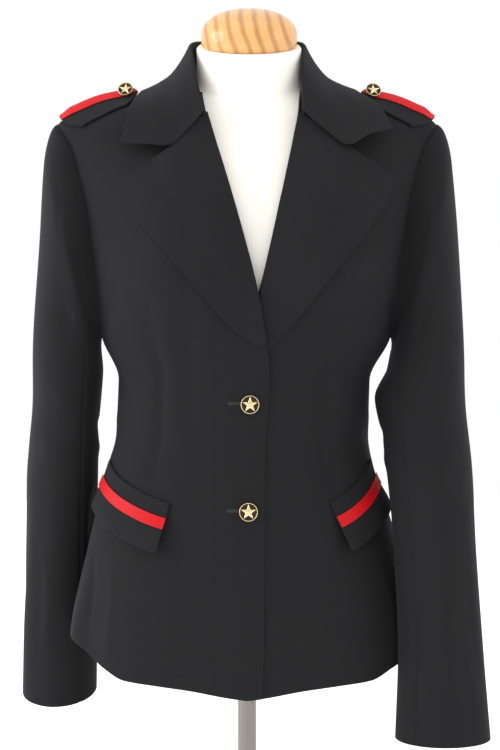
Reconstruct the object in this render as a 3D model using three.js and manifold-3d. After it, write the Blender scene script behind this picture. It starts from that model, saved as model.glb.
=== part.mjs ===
// A fitted single-breasted blazer with peaked collar and lapels, shoulder straps
// and ribbon-trimmed pocket flaps, worn by a limbless dress form on a steel stand.
//
// Millimetres, +Z up. The front faces -Y and the wearer's right side is at -X.
// The origin is on the floor, at the middle of the stand's foot.

import * as THREE from 'three';
import { mergeVertices } from 'three/addons/utils/BufferGeometryUtils.js';
import Module from 'manifold-3d';

const wasm = await Module();
wasm.setup();

// ---------------------------------------------------------------- driving sizes

const CLOTH = 1.6; // one layer of jacket cloth with its fusing
const SEAM_GAP = 0.3; // clearance between pieces that are sewn together
const LAY = 0.4; // clearance under a piece that lies on another
const ARMHOLE_GAP = 2.4; // between the armhole's edge and the sleeve head
const LAP = CLOTH + LAY; // how far the right front rides over the left one

const WAIST_Z = 455;
const ARMPIT_Z = 553;
const SHOULDER_TIP_Z = 773;
const NECKLINE_Z = 815;

const BASE = { radius: 150, height: 11, edge: 3 };
const POLE_RADIUS = 9.6;
const FORM_BOTTOM_Z = 292;
const FORM_CLEARANCE = 5; // dress form inside the jacket, away from the shoulders
const SEAT_WIDTH = 38; // front to back, of the shoulder that the jacket rests on
const FORM_SEAT = 0.35; // dress form under the shoulders, where the jacket rests
const ARM_PLATE_X = 158; // where the form is cut off at the armhole
const NECK_X = 2; // the neck stands this far towards the wearer's left
const NECK_RADIUS = 54;
const NECK_TOP_Z = 853;
const NECK_SLOPE = 0.33; // the neck leans forward: rise for each mm to the back
const CAP = { radius: 49.5, height: 38, edge: 1.5 };

const BUTTON = { radius: 9.2, height: 3.6, rim: 1, shankRadius: 3.5, starTip: 7.2 };
const STRAP_BUTTON = { radius: 8, forward: 12.5, tip: 40, stand: 2.2 }; // it droops forward on its shank
const BUTTON_SPOTS = { button_upper: { x: 3, z: 486 }, button_lower: { x: 1.5, z: 381 } };
const RIBBON = { thickness: 0.9, width: 10.5 };

// The worn body of the jacket as level rings. Half is half the width, shift moves
// the ring towards the wearer's left, as the jacket hangs a little askew, front and
// back are the depths from the side seam, square is the exponent of the rounded
// section, bust is the extra depth over each bust point, and leanFront and
// leanBack tip the ring so that it falls to the front and rises at the nape.
const RINGS = [
  { z: 190, half: 188, shift: 0, front: 122, back: 130, square: 2.15, bust: 0, leanFront: 0, leanBack: 0 },
  { z: 255, half: 180, shift: -1, front: 118, back: 126, square: 2.15, bust: 0, leanFront: 0, leanBack: 0 },
  { z: 304, half: 169, shift: -2, front: 114, back: 121, square: 2.15, bust: 0, leanFront: 0, leanBack: 0 },
  { z: 374, half: 150.5, shift: -5, front: 106, back: 110, square: 2.2, bust: 0, leanFront: 0, leanBack: 0 },
  { z: 415, half: 138.5, shift: -7, front: 99, back: 99, square: 2.2, bust: 0, leanFront: 0, leanBack: 0 },
  { z: 455, half: 129.5, shift: -5, front: 93, back: 88, square: 2.2, bust: 0, leanFront: 0, leanBack: 0 },
  { z: 510, half: 129, shift: -3, front: 95, back: 85, square: 2.2, bust: 1, leanFront: 0, leanBack: 0 },
  { z: 553, half: 148, shift: -1, front: 103, back: 92, square: 2.2, bust: 6, leanFront: 0, leanBack: 0 },
  { z: 620, half: 161, shift: 0, front: 109, back: 105, square: 2.25, bust: 14, leanFront: 0, leanBack: 0 },
  { z: 680, half: 172, shift: 0, front: 102, back: 111, square: 2.25, bust: 9, leanFront: 0.02, leanBack: 0 },
  { z: 735, half: 186, shift: 0, front: 84, back: 106, square: 2.15, bust: 2, leanFront: 0.12, leanBack: 0 },
  { z: 773, half: 194, shift: 0, front: 63, back: 86, square: 2.05, bust: 0, leanFront: 0.25, leanBack: 0 },
  { z: 786, half: 171, shift: 0, front: 60, back: 78, square: 2, bust: 0, leanFront: 0.29, leanBack: 0.04 },
  { z: 795, half: 149, shift: 0, front: 59, back: 72, square: 2, bust: 0, leanFront: 0.31, leanBack: 0.12 },
  { z: 803, half: 112, shift: 0, front: 58.5, back: 67, square: 2, bust: 0, leanFront: 0.33, leanBack: 0.24 },
  { z: 815, half: 69, shift: 2, front: 60, back: 62, square: 2, bust: 0, leanFront: 0.33, leanBack: 0.33 },
];

// The hem's height by distance from the middle, at the front and at the back.
const HEM_FRONT = [
  { x: 0, z: 200 }, { x: 15, z: 202 }, { x: 53, z: 208.5 }, { x: 85, z: 212 },
  { x: 119, z: 215.5 }, { x: 139, z: 225 }, { x: 151, z: 232 }, { x: 181, z: 255 },
];
const HEM_BACK = [{ x: 0, z: 238 }, { x: 90, z: 240 }, { x: 181, z: 256 }];

// The armhole's width: how far out the front and back reach, against the ring.
const ARMHOLE = [
  { z: 553, reach: 1 }, { z: 566, reach: 0.973 }, { z: 600, reach: 0.95 },
  { z: 640, reach: 0.94 }, { z: 711, reach: 0.928 }, { z: 752, reach: 0.937 },
  { z: 773, reach: 1 },
];

// Front edges, by the ring they lie on: below the break the free edge, above it
// the line where the lapel rolls over.
const RIGHT_EDGE = [
  { z: 190, x: 12 }, { z: 290, x: 14.5 }, { z: 440, x: 17.5 }, { z: 515, x: 21.5 },
  { z: 545, x: 19.5 }, { z: 569, x: 14.8 }, { z: 598, x: 9.5 }, { z: 647, x: -2.5 },
  { z: 706, x: -19 }, { z: 760, x: -33 }, { z: 815, x: -46 },
];
const LEFT_EDGE = [
  { z: 190, x: -20 }, { z: 515, x: -19 }, { z: 545, x: -10 }, { z: 569, x: 3 },
  { z: 598, x: 12.5 }, { z: 647, x: 24 }, { z: 706, x: 36 }, { z: 760, x: 47 },
  { z: 815, x: 54 },
];

// Lapels, by distance across and height, from the break up. The top edge runs
// from the roll line out along the gorge seam, past the notch to the peak.
const RIGHT_LAPEL = {
  roll: [{ x: 19, z: 545 }, { x: 10, z: 598 }, { x: -2, z: 647 }, { x: -18.5, z: 706 }, { x: -40, z: 778 }],
  outer: [
    { x: 14, z: 541 }, { x: -14, z: 560 }, { x: -54, z: 606 }, { x: -88, z: 645 },
    { x: -112, z: 672 }, { x: -121, z: 690 }, { x: -124, z: 708 },
  ],
  top: [{ x: -40, z: 778 }, { x: -60, z: 760 }, { x: -77, z: 741 }, { x: -106, z: 721 }, { x: -124, z: 708 }],
};
const LEFT_LAPEL = {
  roll: [{ x: 11, z: 545 }, { x: 14, z: 598 }, { x: 24.5, z: 647 }, { x: 37, z: 706 }, { x: 52, z: 778 }],
  outer: [
    { x: 22, z: 539 }, { x: 52, z: 573 }, { x: 79, z: 606 }, { x: 110, z: 644 },
    { x: 129, z: 670 }, { x: 141, z: 690 }, { x: 149, z: 708 },
  ],
  top: [{ x: 52, z: 778 }, { x: 79, z: 760 }, { x: 101, z: 743 }, { x: 128, z: 725 }, { x: 149, z: 708 }],
};

// The collar, from the nape round to its front end: out is the distance from the
// middle. The roll is its top fold, the edge its free edge, the end its front line.
const RIGHT_COLLAR = {
  roll: [
    { out: 0, y: 66, z: 872 }, { out: 40, y: 52, z: 869 }, { out: 59, y: 14, z: 860 },
    { out: 56, y: -20, z: 842 }, { out: 50, y: -48, z: 810 }, { out: 42, y: -66, z: 781 },
  ],
  edge: [
    { out: 0, y: 78, z: 822 }, { out: 62, y: 62, z: 819 }, { out: 103, y: 22, z: 813 },
    { out: 111, y: -14, z: 803 }, { out: 118, y: -48, z: 784 }, { out: 125, y: -74, z: 746 },
  ],
  end: [
    { out: 42, z: 781 }, { out: 60, z: 761 }, { out: 77, z: 744 }, { out: 102, z: 744 }, { out: 125, z: 746 },
  ],
};
const LEFT_COLLAR = {
  roll: [
    { out: 0, y: 66, z: 872 }, { out: 40, y: 52, z: 869 }, { out: 59.5, y: 14, z: 860 },
    { out: 57, y: -20, z: 842 }, { out: 56, y: -48, z: 810 }, { out: 56, y: -66, z: 780 },
  ],
  edge: [
    { out: 0, y: 78, z: 822 }, { out: 64, y: 62, z: 820 }, { out: 106, y: 22, z: 814 },
    { out: 116, y: -13, z: 804 }, { out: 133, y: -44, z: 787 }, { out: 144, y: -72, z: 761 },
  ],
  end: [
    { out: 56, z: 780 }, { out: 80, z: 759 }, { out: 102, z: 743 },
    { out: 122, z: 754 }, { out: 144, z: 761 },
  ],
};
const COLLAR_SAG = 6; // hollow of the fall between roll and edge, on the shoulder
const COLLAR_REACH = 3; // how near to its end the fall takes on the end's own line

// Sleeves as rings from the armhole to the cuff: the outer and the inner point
// of each ring, how far the ring sits to the back, and half its depth.
const RIGHT_SLEEVE = [
  { down: 0, outX: 196, outZ: 775, inX: 151, inZ: 553, y: 0, depth: 46 },
  { down: 0.05, outX: 205, outZ: 764, inX: 151, inZ: 545, y: 2, depth: 58 },
  { down: 0.14, outX: 210, outZ: 722, inX: 150, inZ: 534, y: 5, depth: 62 },
  { down: 0.26, outX: 214, outZ: 655, inX: 149, inZ: 520, y: 8, depth: 60 },
  { down: 0.4, outX: 221, outZ: 560, inX: 151, inZ: 492, y: 12, depth: 56 },
  { down: 0.55, outX: 226, outZ: 452, inX: 155, inZ: 430, y: 24, depth: 51 },
  { down: 0.7, outX: 233, outZ: 350, inX: 158, inZ: 345, y: 50, depth: 46 },
  { down: 0.85, outX: 238, outZ: 255, inX: 160, inZ: 254, y: 74, depth: 41 },
  { down: 1, outX: 240, outZ: 178, inX: 161, inZ: 181, y: 78, depth: 38 },
];
const LEFT_SLEEVE = [
  { down: 0, outX: 196, outZ: 775, inX: 151, inZ: 553, y: 0, depth: 46 },
  { down: 0.05, outX: 206, outZ: 764, inX: 150, inZ: 545, y: -1, depth: 57 },
  { down: 0.14, outX: 211, outZ: 722, inX: 147, inZ: 534, y: -3, depth: 61 },
  { down: 0.26, outX: 216, outZ: 655, inX: 143, inZ: 518, y: -8, depth: 59 },
  { down: 0.4, outX: 220, outZ: 560, inX: 136, inZ: 490, y: -22, depth: 53 },
  { down: 0.55, outX: 223, outZ: 452, inX: 139, inZ: 430, y: -46, depth: 48 },
  { down: 0.7, outX: 227, outZ: 345, inX: 146, inZ: 340, y: -72, depth: 44 },
  { down: 0.85, outX: 233, outZ: 245, inX: 149, inZ: 245, y: -84, depth: 41 },
  { down: 1, outX: 240, outZ: 158, inX: 146, inZ: 158, y: -86, depth: 40 },
];
const SLEEVE_SEAMS = { front: 128, back: 112 }; // degrees round from the outside
const SLEEVE_OFF_BODY = 4; // a hanging sleeve's face, off the jacket's body
const SLEEVE_OFF_POCKET = 10; // and off it where the pocket flap stands out
const HEM_CLEAR_Z = 225; // below this the sleeves hang free of the hem
const CUFF_DIP = { right: 13, left: 9 }; // each cuff hangs this much lower at its front

// Creases pressed, sewn or hung into the cloth. Turn is degrees round from the
// centre front, minus towards the wearer's right.
const FOLDS = [
  { turn: -37, low: 395, high: 610, width: 4.5, rise: -2.6 },
  { turn: -31, low: 420, high: 600, width: 6, rise: 1.4 },
  { turn: 36, low: 390, high: 610, width: 4.5, rise: -2.8 },
  { turn: 44, low: 430, high: 600, width: 7, rise: 1.8 },
  { turn: -72, low: 215, high: 375, width: 7, rise: 3.5 },
  { turn: -58, low: 210, high: 350, width: 8, rise: -3 },
  { turn: 62, low: 205, high: 350, width: 9, rise: 2.6 },
  { turn: 110, low: 225, high: 400, width: 9, rise: 3 },
  { turn: 142, low: 225, high: 560, width: 6, rise: -2.4 },
  { turn: -118, low: 225, high: 390, width: 9, rise: 2.8 },
  { turn: -144, low: 225, high: 570, width: 6, rise: -2.4 },
];
const SLEEVE_FOLDS = [
  { round: -35, at: 0.5, length: 0.05, width: 40, rise: -3 },
  { round: 20, at: 0.6, length: 0.06, width: 50, rise: 2 },
  { round: -95, at: 0.3, length: 0.1, width: 22, rise: -2.5 },
  { round: -60, at: 0.82, length: 0.16, width: 16, rise: -2 },
  { round: 120, at: 0.48, length: 0.06, width: 50, rise: -3 },
];

const POCKETS = [
  { side: 'right', turnFront: -27, turnSide: -76, frontZ: 380, sideZ: 419 },
  { side: 'left', turnFront: 33.5, turnSide: 75, frontZ: 385, sideZ: 421 },
];
const RIBBON_TOP = 6; // of the flap, above its ribbon
const FLAP = { depth: 39, thickness: 2.4, lift: 4.5, frontLift: 10, welt: 8 };
const STRAP_END_CURVE = 0.014; // how the strap's end follows the sleeve head
const STRAP_SHIFT = 5; // the left strap starts this much farther out
const STRAP = { inner: 111, outer: 190, innerHalf: 22, outerHalf: 29, point: 11, thickness: 2.2 };
const STRAP_FORWARD = 11; // of the shoulder's crest, for the strap's middle line
const STRAP_CROWN = { rise: 6, width: 13 }; // the strap bridges the shoulder in a low ridge

// ---------------------------------------------------------------- materials

function finish(hex, roughness, metalness = 0) {
  return () => new THREE.MeshStandardMaterial({ color: hex, roughness, metalness });
}
const charcoalCrepe = finish(0x2b2b2e, 0.9);
const redSatin = finish(0xc11f2a, 0.45);
const paleGold = finish(0xd9c79a, 0.28, 1);
const creamJersey = finish(0xe9e2d3, 0.85);
const varnishedPine = finish(0xd9a465, 0.3);
const polishedSteel = finish(0xc9ccd0, 0.2, 1);

// ---------------------------------------------------------------- plain maths

const clamp = (value, low, high) => Math.min(high, Math.max(low, value));
const mix = (a, b, t) => a + (b - a) * t;
const smooth = (low, high, value) => THREE.MathUtils.smoothstep(value, low, high);
const radians = THREE.MathUtils.degToRad;
const bell = (distance) => Math.exp(-distance * distance);

// A smooth curve through a table's rows that never swings past them.
function curveThrough(rows, key, column) {
  const at = rows.map((row) => row[key]);
  const value = rows.map((row) => row[column]);
  const rising = at[at.length - 1] > at[0] ? 1 : -1;
  const slope = [];
  for (let i = 0; i + 1 < at.length; i++) slope.push((value[i + 1] - value[i]) / (at[i + 1] - at[i]));
  const tangent = at.map((_, i) => {
    if (i === 0) return slope[0];
    if (i === at.length - 1) return slope[i - 1];
    const [before, after] = [slope[i - 1], slope[i]];
    return before * after <= 0 ? 0 : (2 * before * after) / (before + after);
  });
  return (wanted) => {
    let i = 0;
    while (i + 2 < at.length && (wanted - at[i + 1]) * rising > 0) i++;
    const span = at[i + 1] - at[i];
    const t = clamp((wanted - at[i]) / span, 0, 1);
    const rest = 1 - t;
    return value[i] * (1 + 2 * t) * rest * rest + tangent[i] * span * t * rest * rest
      + value[i + 1] * t * t * (3 - 2 * t) - tangent[i + 1] * span * t * t * rest;
  };
}

// Every column of a table as a curve, read as one row at any place.
function tableCurve(rows, key) {
  const columns = Object.keys(rows[0]).filter((name) => name !== key);
  const curves = columns.map((name) => curveThrough(rows, key, name));
  return (wanted) => Object.fromEntries(columns.map((name, i) => [name, curves[i](wanted)]));
}

// ---------------------------------------------------------------- the worn body

const ringAt = tableCurve(RINGS, 'z');
const armholeReach = curveThrough(ARMHOLE, 'z', 'reach');
const hemFront = curveThrough(HEM_FRONT, 'x', 'z');
const hemBack = curveThrough(HEM_BACK, 'x', 'z');

const BUST_X = 78;
const BUST_WIDTH = 50;

function foldRise(turn, z) {
  let rise = 0;
  for (const fold of FOLDS) {
    const fade = smooth(fold.low - 10, fold.low + 50, z) * (1 - smooth(fold.high - 60, fold.high, z));
    const held = fold.low < 255 ? 1 - smooth(fold.high - 110, fold.high, z) : fade;
    rise += fold.rise * held * bell((turn - fold.turn) / fold.width);
  }
  return rise;
}

// A point of the bare body form: turn is in degrees from the centre front.
function bodyPoint(turn, z) {
  const ring = ringAt(z);
  const power = 2 / ring.square;
  const [sine, cosine] = [Math.sin(radians(turn)), Math.cos(radians(turn))];
  const half = Math.sign(sine) * ring.half * Math.abs(sine) ** power;
  const depth = cosine > 0 ? ring.front : ring.back;
  let y = -Math.sign(cosine) * depth * Math.abs(cosine) ** power;
  if (cosine > 0) y -= ring.bust * bell((Math.abs(half) - BUST_X) / BUST_WIDTH) * smooth(0, 0.5, cosine);
  const lean = mix(ring.leanFront, ring.leanBack, smooth(-30, 30, y));
  return new THREE.Vector3(half + ring.shift, y, z + lean * y);
}

function bodyNormal(turn, z) {
  const [dTurn, dZ] = [0.4, 0.6];
  const across = bodyPoint(turn + dTurn, z).sub(bodyPoint(turn - dTurn, z));
  const up = bodyPoint(turn, z + dZ).sub(bodyPoint(turn, z - dZ));
  return across.cross(up).normalize();
}

// The cloth's face, with its folds, moved out by the given distance.
function clothPoint(turn, z, out = 0) {
  return bodyPoint(turn, z).addScaledVector(bodyNormal(turn, z), out + foldRise(turn, z));
}

function turnAcross(x, z) {
  const ring = ringAt(z);
  const across = x - ring.shift;
  const sine = clamp(Math.abs(across) / ring.half, 0, 1) ** (ring.square / 2);
  return (Math.sign(across) * Math.asin(sine) * 180) / Math.PI;
}

// Where the front's face is crossed at a distance across and a height.
function frontSpot(x, height) {
  let z = height;
  let turn = 0;
  for (let step = 0; step < 12; step++) {
    turn = turnAcross(x, z);
    z = mix(z, height + z - bodyPoint(turn, z).z, 0.7);
  }
  return { turn, z };
}

// The body form as a cloud of places, to look for the one nearest to a point.
const PLACES = [];
for (let z = 200; z <= NECKLINE_Z; z += z < 740 ? 20 : 5) {
  for (let turn = -180; turn < 180; turn += 6) PLACES.push({ turn, z, point: bodyPoint(turn, z) });
}

// A point moved out, where need be, to lie at least the given distance off the body.
function clearOfBody(point, distance) {
  let best = PLACES[0];
  for (const place of PLACES) {
    if (place.point.distanceToSquared(point) < best.point.distanceToSquared(point)) best = place;
  }
  for (let [dTurn, dZ] = [3, 8]; dTurn > 0.1; dTurn /= 2, dZ /= 2) {
    const around = [[-1, 0], [1, 0], [0, -1], [0, 1], [-1, -1], [1, 1], [-1, 1], [1, -1]];
    for (const [a, b] of around) {
      const [turn, z] = [best.turn + a * dTurn, Math.min(best.z + b * dZ, NECKLINE_Z)];
      const near = bodyPoint(turn, z);
      const nearer = near.distanceToSquared(point) < best.point.distanceToSquared(point);
      if (nearer) best = { turn, z, point: near };
    }
  }
  const normal = bodyNormal(best.turn, best.z);
  const off = point.clone().sub(best.point).dot(normal);
  const wanted = distance + Math.max(0, foldRise(best.turn, best.z));
  return off < wanted ? point.clone().addScaledVector(normal, wanted - off) : point;
}

// How far the right front is lifted where it laps over the left one and, at the
// break, over the left lapel as well.
function lapLift(x, z) {
  const overLapel = 3 * bell((z - 559) / 48);
  return (LAP + overLapel) * smooth(-62, -34, x) * (1 - smooth(610, 690, z));
}

// ---------------------------------------------------------------- closed cloth walls

// The way out at each point of a grid, from its neighbours. Middle gives a point
// inside the body for any point of the face.
function waysOut(face, middle = (p) => new THREE.Vector3(0, 0, p.z)) {
  const [rows, columns] = [face.length, face[0].length];
  const ways = face.map((line, i) => line.map((_, j) => {
    const across = line[Math.min(j + 1, columns - 1)].clone().sub(line[Math.max(j - 1, 0)]);
    const up = face[Math.min(i + 1, rows - 1)][j].clone().sub(face[Math.max(i - 1, 0)][j]);
    return across.cross(up).normalize();
  }));
  const [midRow, midColumn] = [rows >> 1, columns >> 1];
  const centre = face[midRow][midColumn];
  const inwards = ways[midRow][midColumn].dot(centre.clone().sub(middle(centre))) < 0;
  return inwards ? ways.map((line) => line.map((way) => way.negate())) : ways;
}

// A closed wall on a grid of points: its face, and its back moved in by thickness.
function clothWall(face, ways, thickness) {
  const [rows, columns] = [face.length, face[0].length];
  const back = face.map((line, i) => line.map((p, j) => p.clone().addScaledVector(ways[i][j], -thickness)));
  const positions = [...face.flat(), ...back.flat()].flatMap((p) => [p.x, p.y, p.z]);
  const index = [];
  const quad = (a, b, c, d) => index.push(a, b, c, a, c, d);
  const layer = rows * columns;
  const id = (i, j, side) => i * columns + j + side * layer;
  for (let i = 0; i + 1 < rows; i++) {
    for (let j = 0; j + 1 < columns; j++) {
      quad(id(i, j, 0), id(i, j + 1, 0), id(i + 1, j + 1, 0), id(i + 1, j, 0));
      quad(id(i, j, 1), id(i + 1, j, 1), id(i + 1, j + 1, 1), id(i, j + 1, 1));
    }
    quad(id(i, 0, 1), id(i, 0, 0), id(i + 1, 0, 0), id(i + 1, 0, 1));
    quad(id(i, columns - 1, 0), id(i, columns - 1, 1), id(i + 1, columns - 1, 1), id(i + 1, columns - 1, 0));
  }
  for (let j = 0; j + 1 < columns; j++) {
    quad(id(0, j, 0), id(0, j, 1), id(0, j + 1, 1), id(0, j + 1, 0));
    quad(id(rows - 1, j, 1), id(rows - 1, j, 0), id(rows - 1, j + 1, 0), id(rows - 1, j + 1, 1));
  }
  return solidFrom(positions, index);
}

function signedVolume(positions, index) {
  const [a, b, c] = [new THREE.Vector3(), new THREE.Vector3(), new THREE.Vector3()];
  let sum = 0;
  for (let i = 0; i < index.length; i += 3) {
    a.fromArray(positions, 3 * index[i]);
    b.fromArray(positions, 3 * index[i + 1]);
    c.fromArray(positions, 3 * index[i + 2]);
    sum += a.dot(b.cross(c));
  }
  return sum / 6;
}

function solidFrom(positions, index) {
  const outward = signedVolume(positions, index) > 0;
  const faces = [];
  for (let i = 0; i < index.length; i += 3) {
    faces.push(index[i], index[outward ? i + 1 : i + 2], index[outward ? i + 2 : i + 1]);
  }
  const geometry = new THREE.BufferGeometry();
  geometry.setAttribute('position', new THREE.Float32BufferAttribute(positions, 3));
  geometry.setIndex(faces);
  return geometry;
}

// A grid of points from a function of two fractions.
function grid(rows, columns, pointAt) {
  const lines = [];
  for (let i = 0; i <= rows; i++) {
    const line = [];
    for (let j = 0; j <= columns; j++) line.push(pointAt(i / rows, j / columns));
    lines.push(line);
  }
  return lines;
}

// A patch between four border curves, each a function of a fraction. The
// greater the reach, the nearer to itself the end keeps its own shape.
function patch(start, end, low, high, reach = 1) {
  const corners = [start(0), start(1), end(0), end(1)];
  return (s, t) => {
    const a = s ** reach;
    return new THREE.Vector3()
      .addScaledVector(start(t), 1 - a).addScaledVector(end(t), a)
      .addScaledVector(low(s), 1 - t).addScaledVector(high(s), t)
      .addScaledVector(corners[0], -(1 - a) * (1 - t)).addScaledVector(corners[1], -(1 - a) * t)
      .addScaledVector(corners[2], -a * (1 - t)).addScaledVector(corners[3], -a * t);
  };
}

// A smooth line through points, read by the fraction of its length.
function lineThrough(points) {
  const curve = new THREE.CatmullRomCurve3(points, false, 'centripetal');
  return (t) => curve.getPointAt(clamp(t, 0, 1));
}
const flatLine = (rows) => lineThrough(rows.map(({ x, z }) => new THREE.Vector3(x, 0, z)));

// A wall that lies on the body: spotAt gives its places, and outAt how far out its
// face is. Every layer is moved along the same lines, so that layers never cross.
function laidWall(rows, columns, thickness, spotAt, outAt) {
  const spots = grid(rows, columns, spotAt);
  const ways = spots.map((line) => line.map(({ turn, z }) => bodyNormal(turn, z)));
  const face = grid(rows, columns, (s, t) => {
    const { turn, z } = spots[Math.round(s * rows)][Math.round(t * columns)];
    return clothPoint(turn, z, outAt(s, t, { turn, z }));
  });
  return clothWall(face, ways, thickness);
}

// ---------------------------------------------------------------- fronts and backs

// Ring heights from hem to neckline, closer in the shoulder, where the rings'
// width changes faster than their height.
const spread = (from, to, count) => Array.from({ length: count }, (_, i) => mix(from, to, i / count));
const shoulderRings = RINGS.filter(({ z }) => z >= SHOULDER_TIP_Z);
const shoulderLine = lineThrough(shoulderRings.map(({ z, half }) => new THREE.Vector3(half, 0, z)));
const heights = [
  ...spread(255, ARMPIT_Z, 10), ...spread(ARMPIT_Z, 715, 5), ...spread(715, SHOULDER_TIP_Z, 5),
  ...spread(0, 1, 7).map((share) => shoulderLine(share).z), NECKLINE_Z,
];
const BODY_ROWS = heights.length - 1;
const inArmhole = (z) => z > ARMPIT_Z && z < SHOULDER_TIP_Z;

// Rows below the waist are drawn down to the hem, so that it runs in a clean line.
function toHem(z, hem) {
  const share = clamp((WAIST_Z - z) / (WAIST_Z - heights[0]), 0, 1);
  return z - (heights[0] - hem) * share * share;
}

function outerTurn(z) {
  if (!inArmhole(z)) return 90;
  return Math.asin(armholeReach(z) ** (ringAt(z).square / 2)) * 180 / Math.PI;
}

function seamTurn(z) {
  return (SEAM_GAP / 2 / ringAt(z).half) * (180 / Math.PI);
}

function frontPanel(side, edgeRows, lift) {
  const edge = curveThrough(edgeRows, 'z', 'x');
  const spotAt = (s, t) => {
    const level = heights[Math.round(s * BODY_ROWS)];
    const from = turnAcross(edge(level), level);
    const to = side * (outerTurn(level) - 4 * seamTurn(level));
    const turn = mix(from, to, t);
    const hem = hemFront(Math.abs(bodyPoint(turn, level).x));
    return { turn, z: level < WAIST_Z ? toHem(level, hem) : level };
  };
  return laidWall(BODY_ROWS, 11, CLOTH, spotAt, (s, t, { turn, z }) => lift(bodyPoint(turn, z).x, z));
}

function backPanel(side) {
  const spotAt = (s, t) => {
    const level = heights[Math.round(s * BODY_ROWS)];
    const centre = 180 - seamTurn(level);
    const outer = 180 - outerTurn(level) + 4 * seamTurn(level);
    const turn = side * mix(centre, outer, t);
    const hem = hemBack(Math.abs(bodyPoint(turn, level).x));
    return { turn, z: level < WAIST_Z ? toHem(level, hem) : level };
  };
  return laidWall(BODY_ROWS, 9, CLOTH, spotAt, () => 0);
}

function makeBody() {
  return [
    piece('front_right', frontPanel(-1, RIGHT_EDGE, lapLift), charcoalCrepe()),
    piece('front_left', frontPanel(1, LEFT_EDGE, () => 0), charcoalCrepe()),
    piece('back_right', backPanel(-1), charcoalCrepe()),
    piece('back_left', backPanel(1), charcoalCrepe()),
  ];
}

// ---------------------------------------------------------------- sleeves

// The armhole's edge at an angle round from its top, and the way into the wall.
function armholePoint(side, round) {
  const toFront = ((round + 540) % 360) - 180 < 0;
  const z = mix(ARMPIT_Z, SHOULDER_TIP_Z, 0.5 + 0.5 * Math.cos(radians(round)));
  const inner = clamp(z, ARMPIT_Z + 0.01, SHOULDER_TIP_Z - 0.01);
  const reach = outerTurn(inner);
  const turn = side * (toFront ? reach : 180 - reach);
  return { point: bodyPoint(turn, inner), normal: bodyNormal(turn, inner) };
}

const sleeveOff = (z) => mix(SLEEVE_OFF_BODY, SLEEVE_OFF_POCKET, bell((z - 395) / 55));

// A point of a sleeve's face, by degrees round from its outside and share down.
function sleevePoint(side, ring, round, down) {
  const row = ring(down);
  const [sine, cosine] = [Math.sin(radians(round)), Math.cos(radians(round))];
  const outer = new THREE.Vector3(side * row.outX, row.y, row.outZ);
  const inner = new THREE.Vector3(side * row.inX, row.y, row.inZ);
  const point = outer.lerp(inner, 0.5 - 0.5 * cosine);
  point.y += row.depth * sine;
  const away = new THREE.Vector3(side * cosine, sine, 0);
  for (const fold of SLEEVE_FOLDS) {
    const turnAway = ((round - fold.round + 540) % 360) - 180;
    const share = bell((down - fold.at) / fold.length) * bell(turnAway / fold.width);
    point.addScaledVector(away, fold.rise * share);
  }
  point.z -= (side < 0 ? CUFF_DIP.right : CUFF_DIP.left) * smooth(0.9, 1, down) * Math.max(0, -sine);
  const start = armholePoint(side, round).point;
  start.x += side * ARMHOLE_GAP;
  start.z += ARMHOLE_GAP * cosine;
  const free = start.lerp(point, smooth(0, 0.12, down) ** 0.6);
  return down > 0.2 && free.z > HEM_CLEAR_Z ? clearOfBody(free, sleeveOff(free.z)) : free;
}

// One piece of a sleeve. A column beyond each seam only steers the walls, so that
// the walls of both pieces turn alike along the seam.
function sleeveWall(side, rows, from, to, columns) {
  const lines = 17;
  const ring = tableCurve(rows, 'down');
  const step = (to - from) / columns;
  const wide = grid(lines, columns + 2, (s, t) => {
    const round = mix(from - step, to + step, t);
    return sleevePoint(side, ring, round, s ** 1.25);
  });
  const middle = (p) => {
    const level = Math.round(lines / 2) / lines;
    const row = ring(level ** 1.25);
    return new THREE.Vector3(side * (row.outX + row.inX) / 2, row.y, p.z);
  };
  const inner = (grid2) => grid2.map((line) => line.slice(1, -1));
  const ways = inner(waysOut(wide, middle));
  ways[0] = ways[0].map((_, j) => armholePoint(side, from + j * step).normal);
  return clothWall(inner(wide), ways, CLOTH);
}

function makeSleeve(name, side, rows) {
  const gap = 0.5; // degrees, half the seam gap
  const { front, back } = SLEEVE_SEAMS;
  return [
    piece(`sleeve_top_${name}`, sleeveWall(side, rows, -front + gap, back - gap, 15), charcoalCrepe()),
    piece(`sleeve_under_${name}`, sleeveWall(side, rows, back + gap, 360 - front - gap, 8), charcoalCrepe()),
  ];
}

// ---------------------------------------------------------------- lapels and collar

// A lapel lies on its front, with a belly along the roll and a free outer edge.
function makeLapel(name, { roll, outer, top }, under, edgeRise) {
  const base = new THREE.Vector3(roll[0].x, 0, roll[0].z);
  const tip = new THREE.Vector3(outer[0].x, 0, outer[0].z);
  const shape = patch((t) => base.clone().lerp(tip, t), flatLine(top), flatLine(roll), flatLine(outer));
  const outAt = (s, t, { turn, z }) => {
    const belly = 2.2 * Math.sin(Math.PI * Math.min(1, t * 1.6)) * smooth(0.14, 0.45, s);
    const rise = edgeRise * t * t * smooth(0.1, 0.6, s);
    return under(bodyPoint(turn, z).x, z) + 2 * LAY + CLOTH + belly + rise;
  };
  const spotAt = (s, t) => {
    const flat = shape(s, t);
    const spot = frontSpot(flat.x, flat.z);
    flat.addScaledVector(bodyNormal(spot.turn, spot.z), -outAt(s, t, spot));
    return frontSpot(flat.x, flat.z);
  };
  return piece(name, laidWall(14, 8, CLOTH, spotAt, outAt), charcoalCrepe());
}

const outLine = (rows, side) => lineThrough(rows.map(({ out, y, z }) => new THREE.Vector3(side * out, y, z)));

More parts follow.
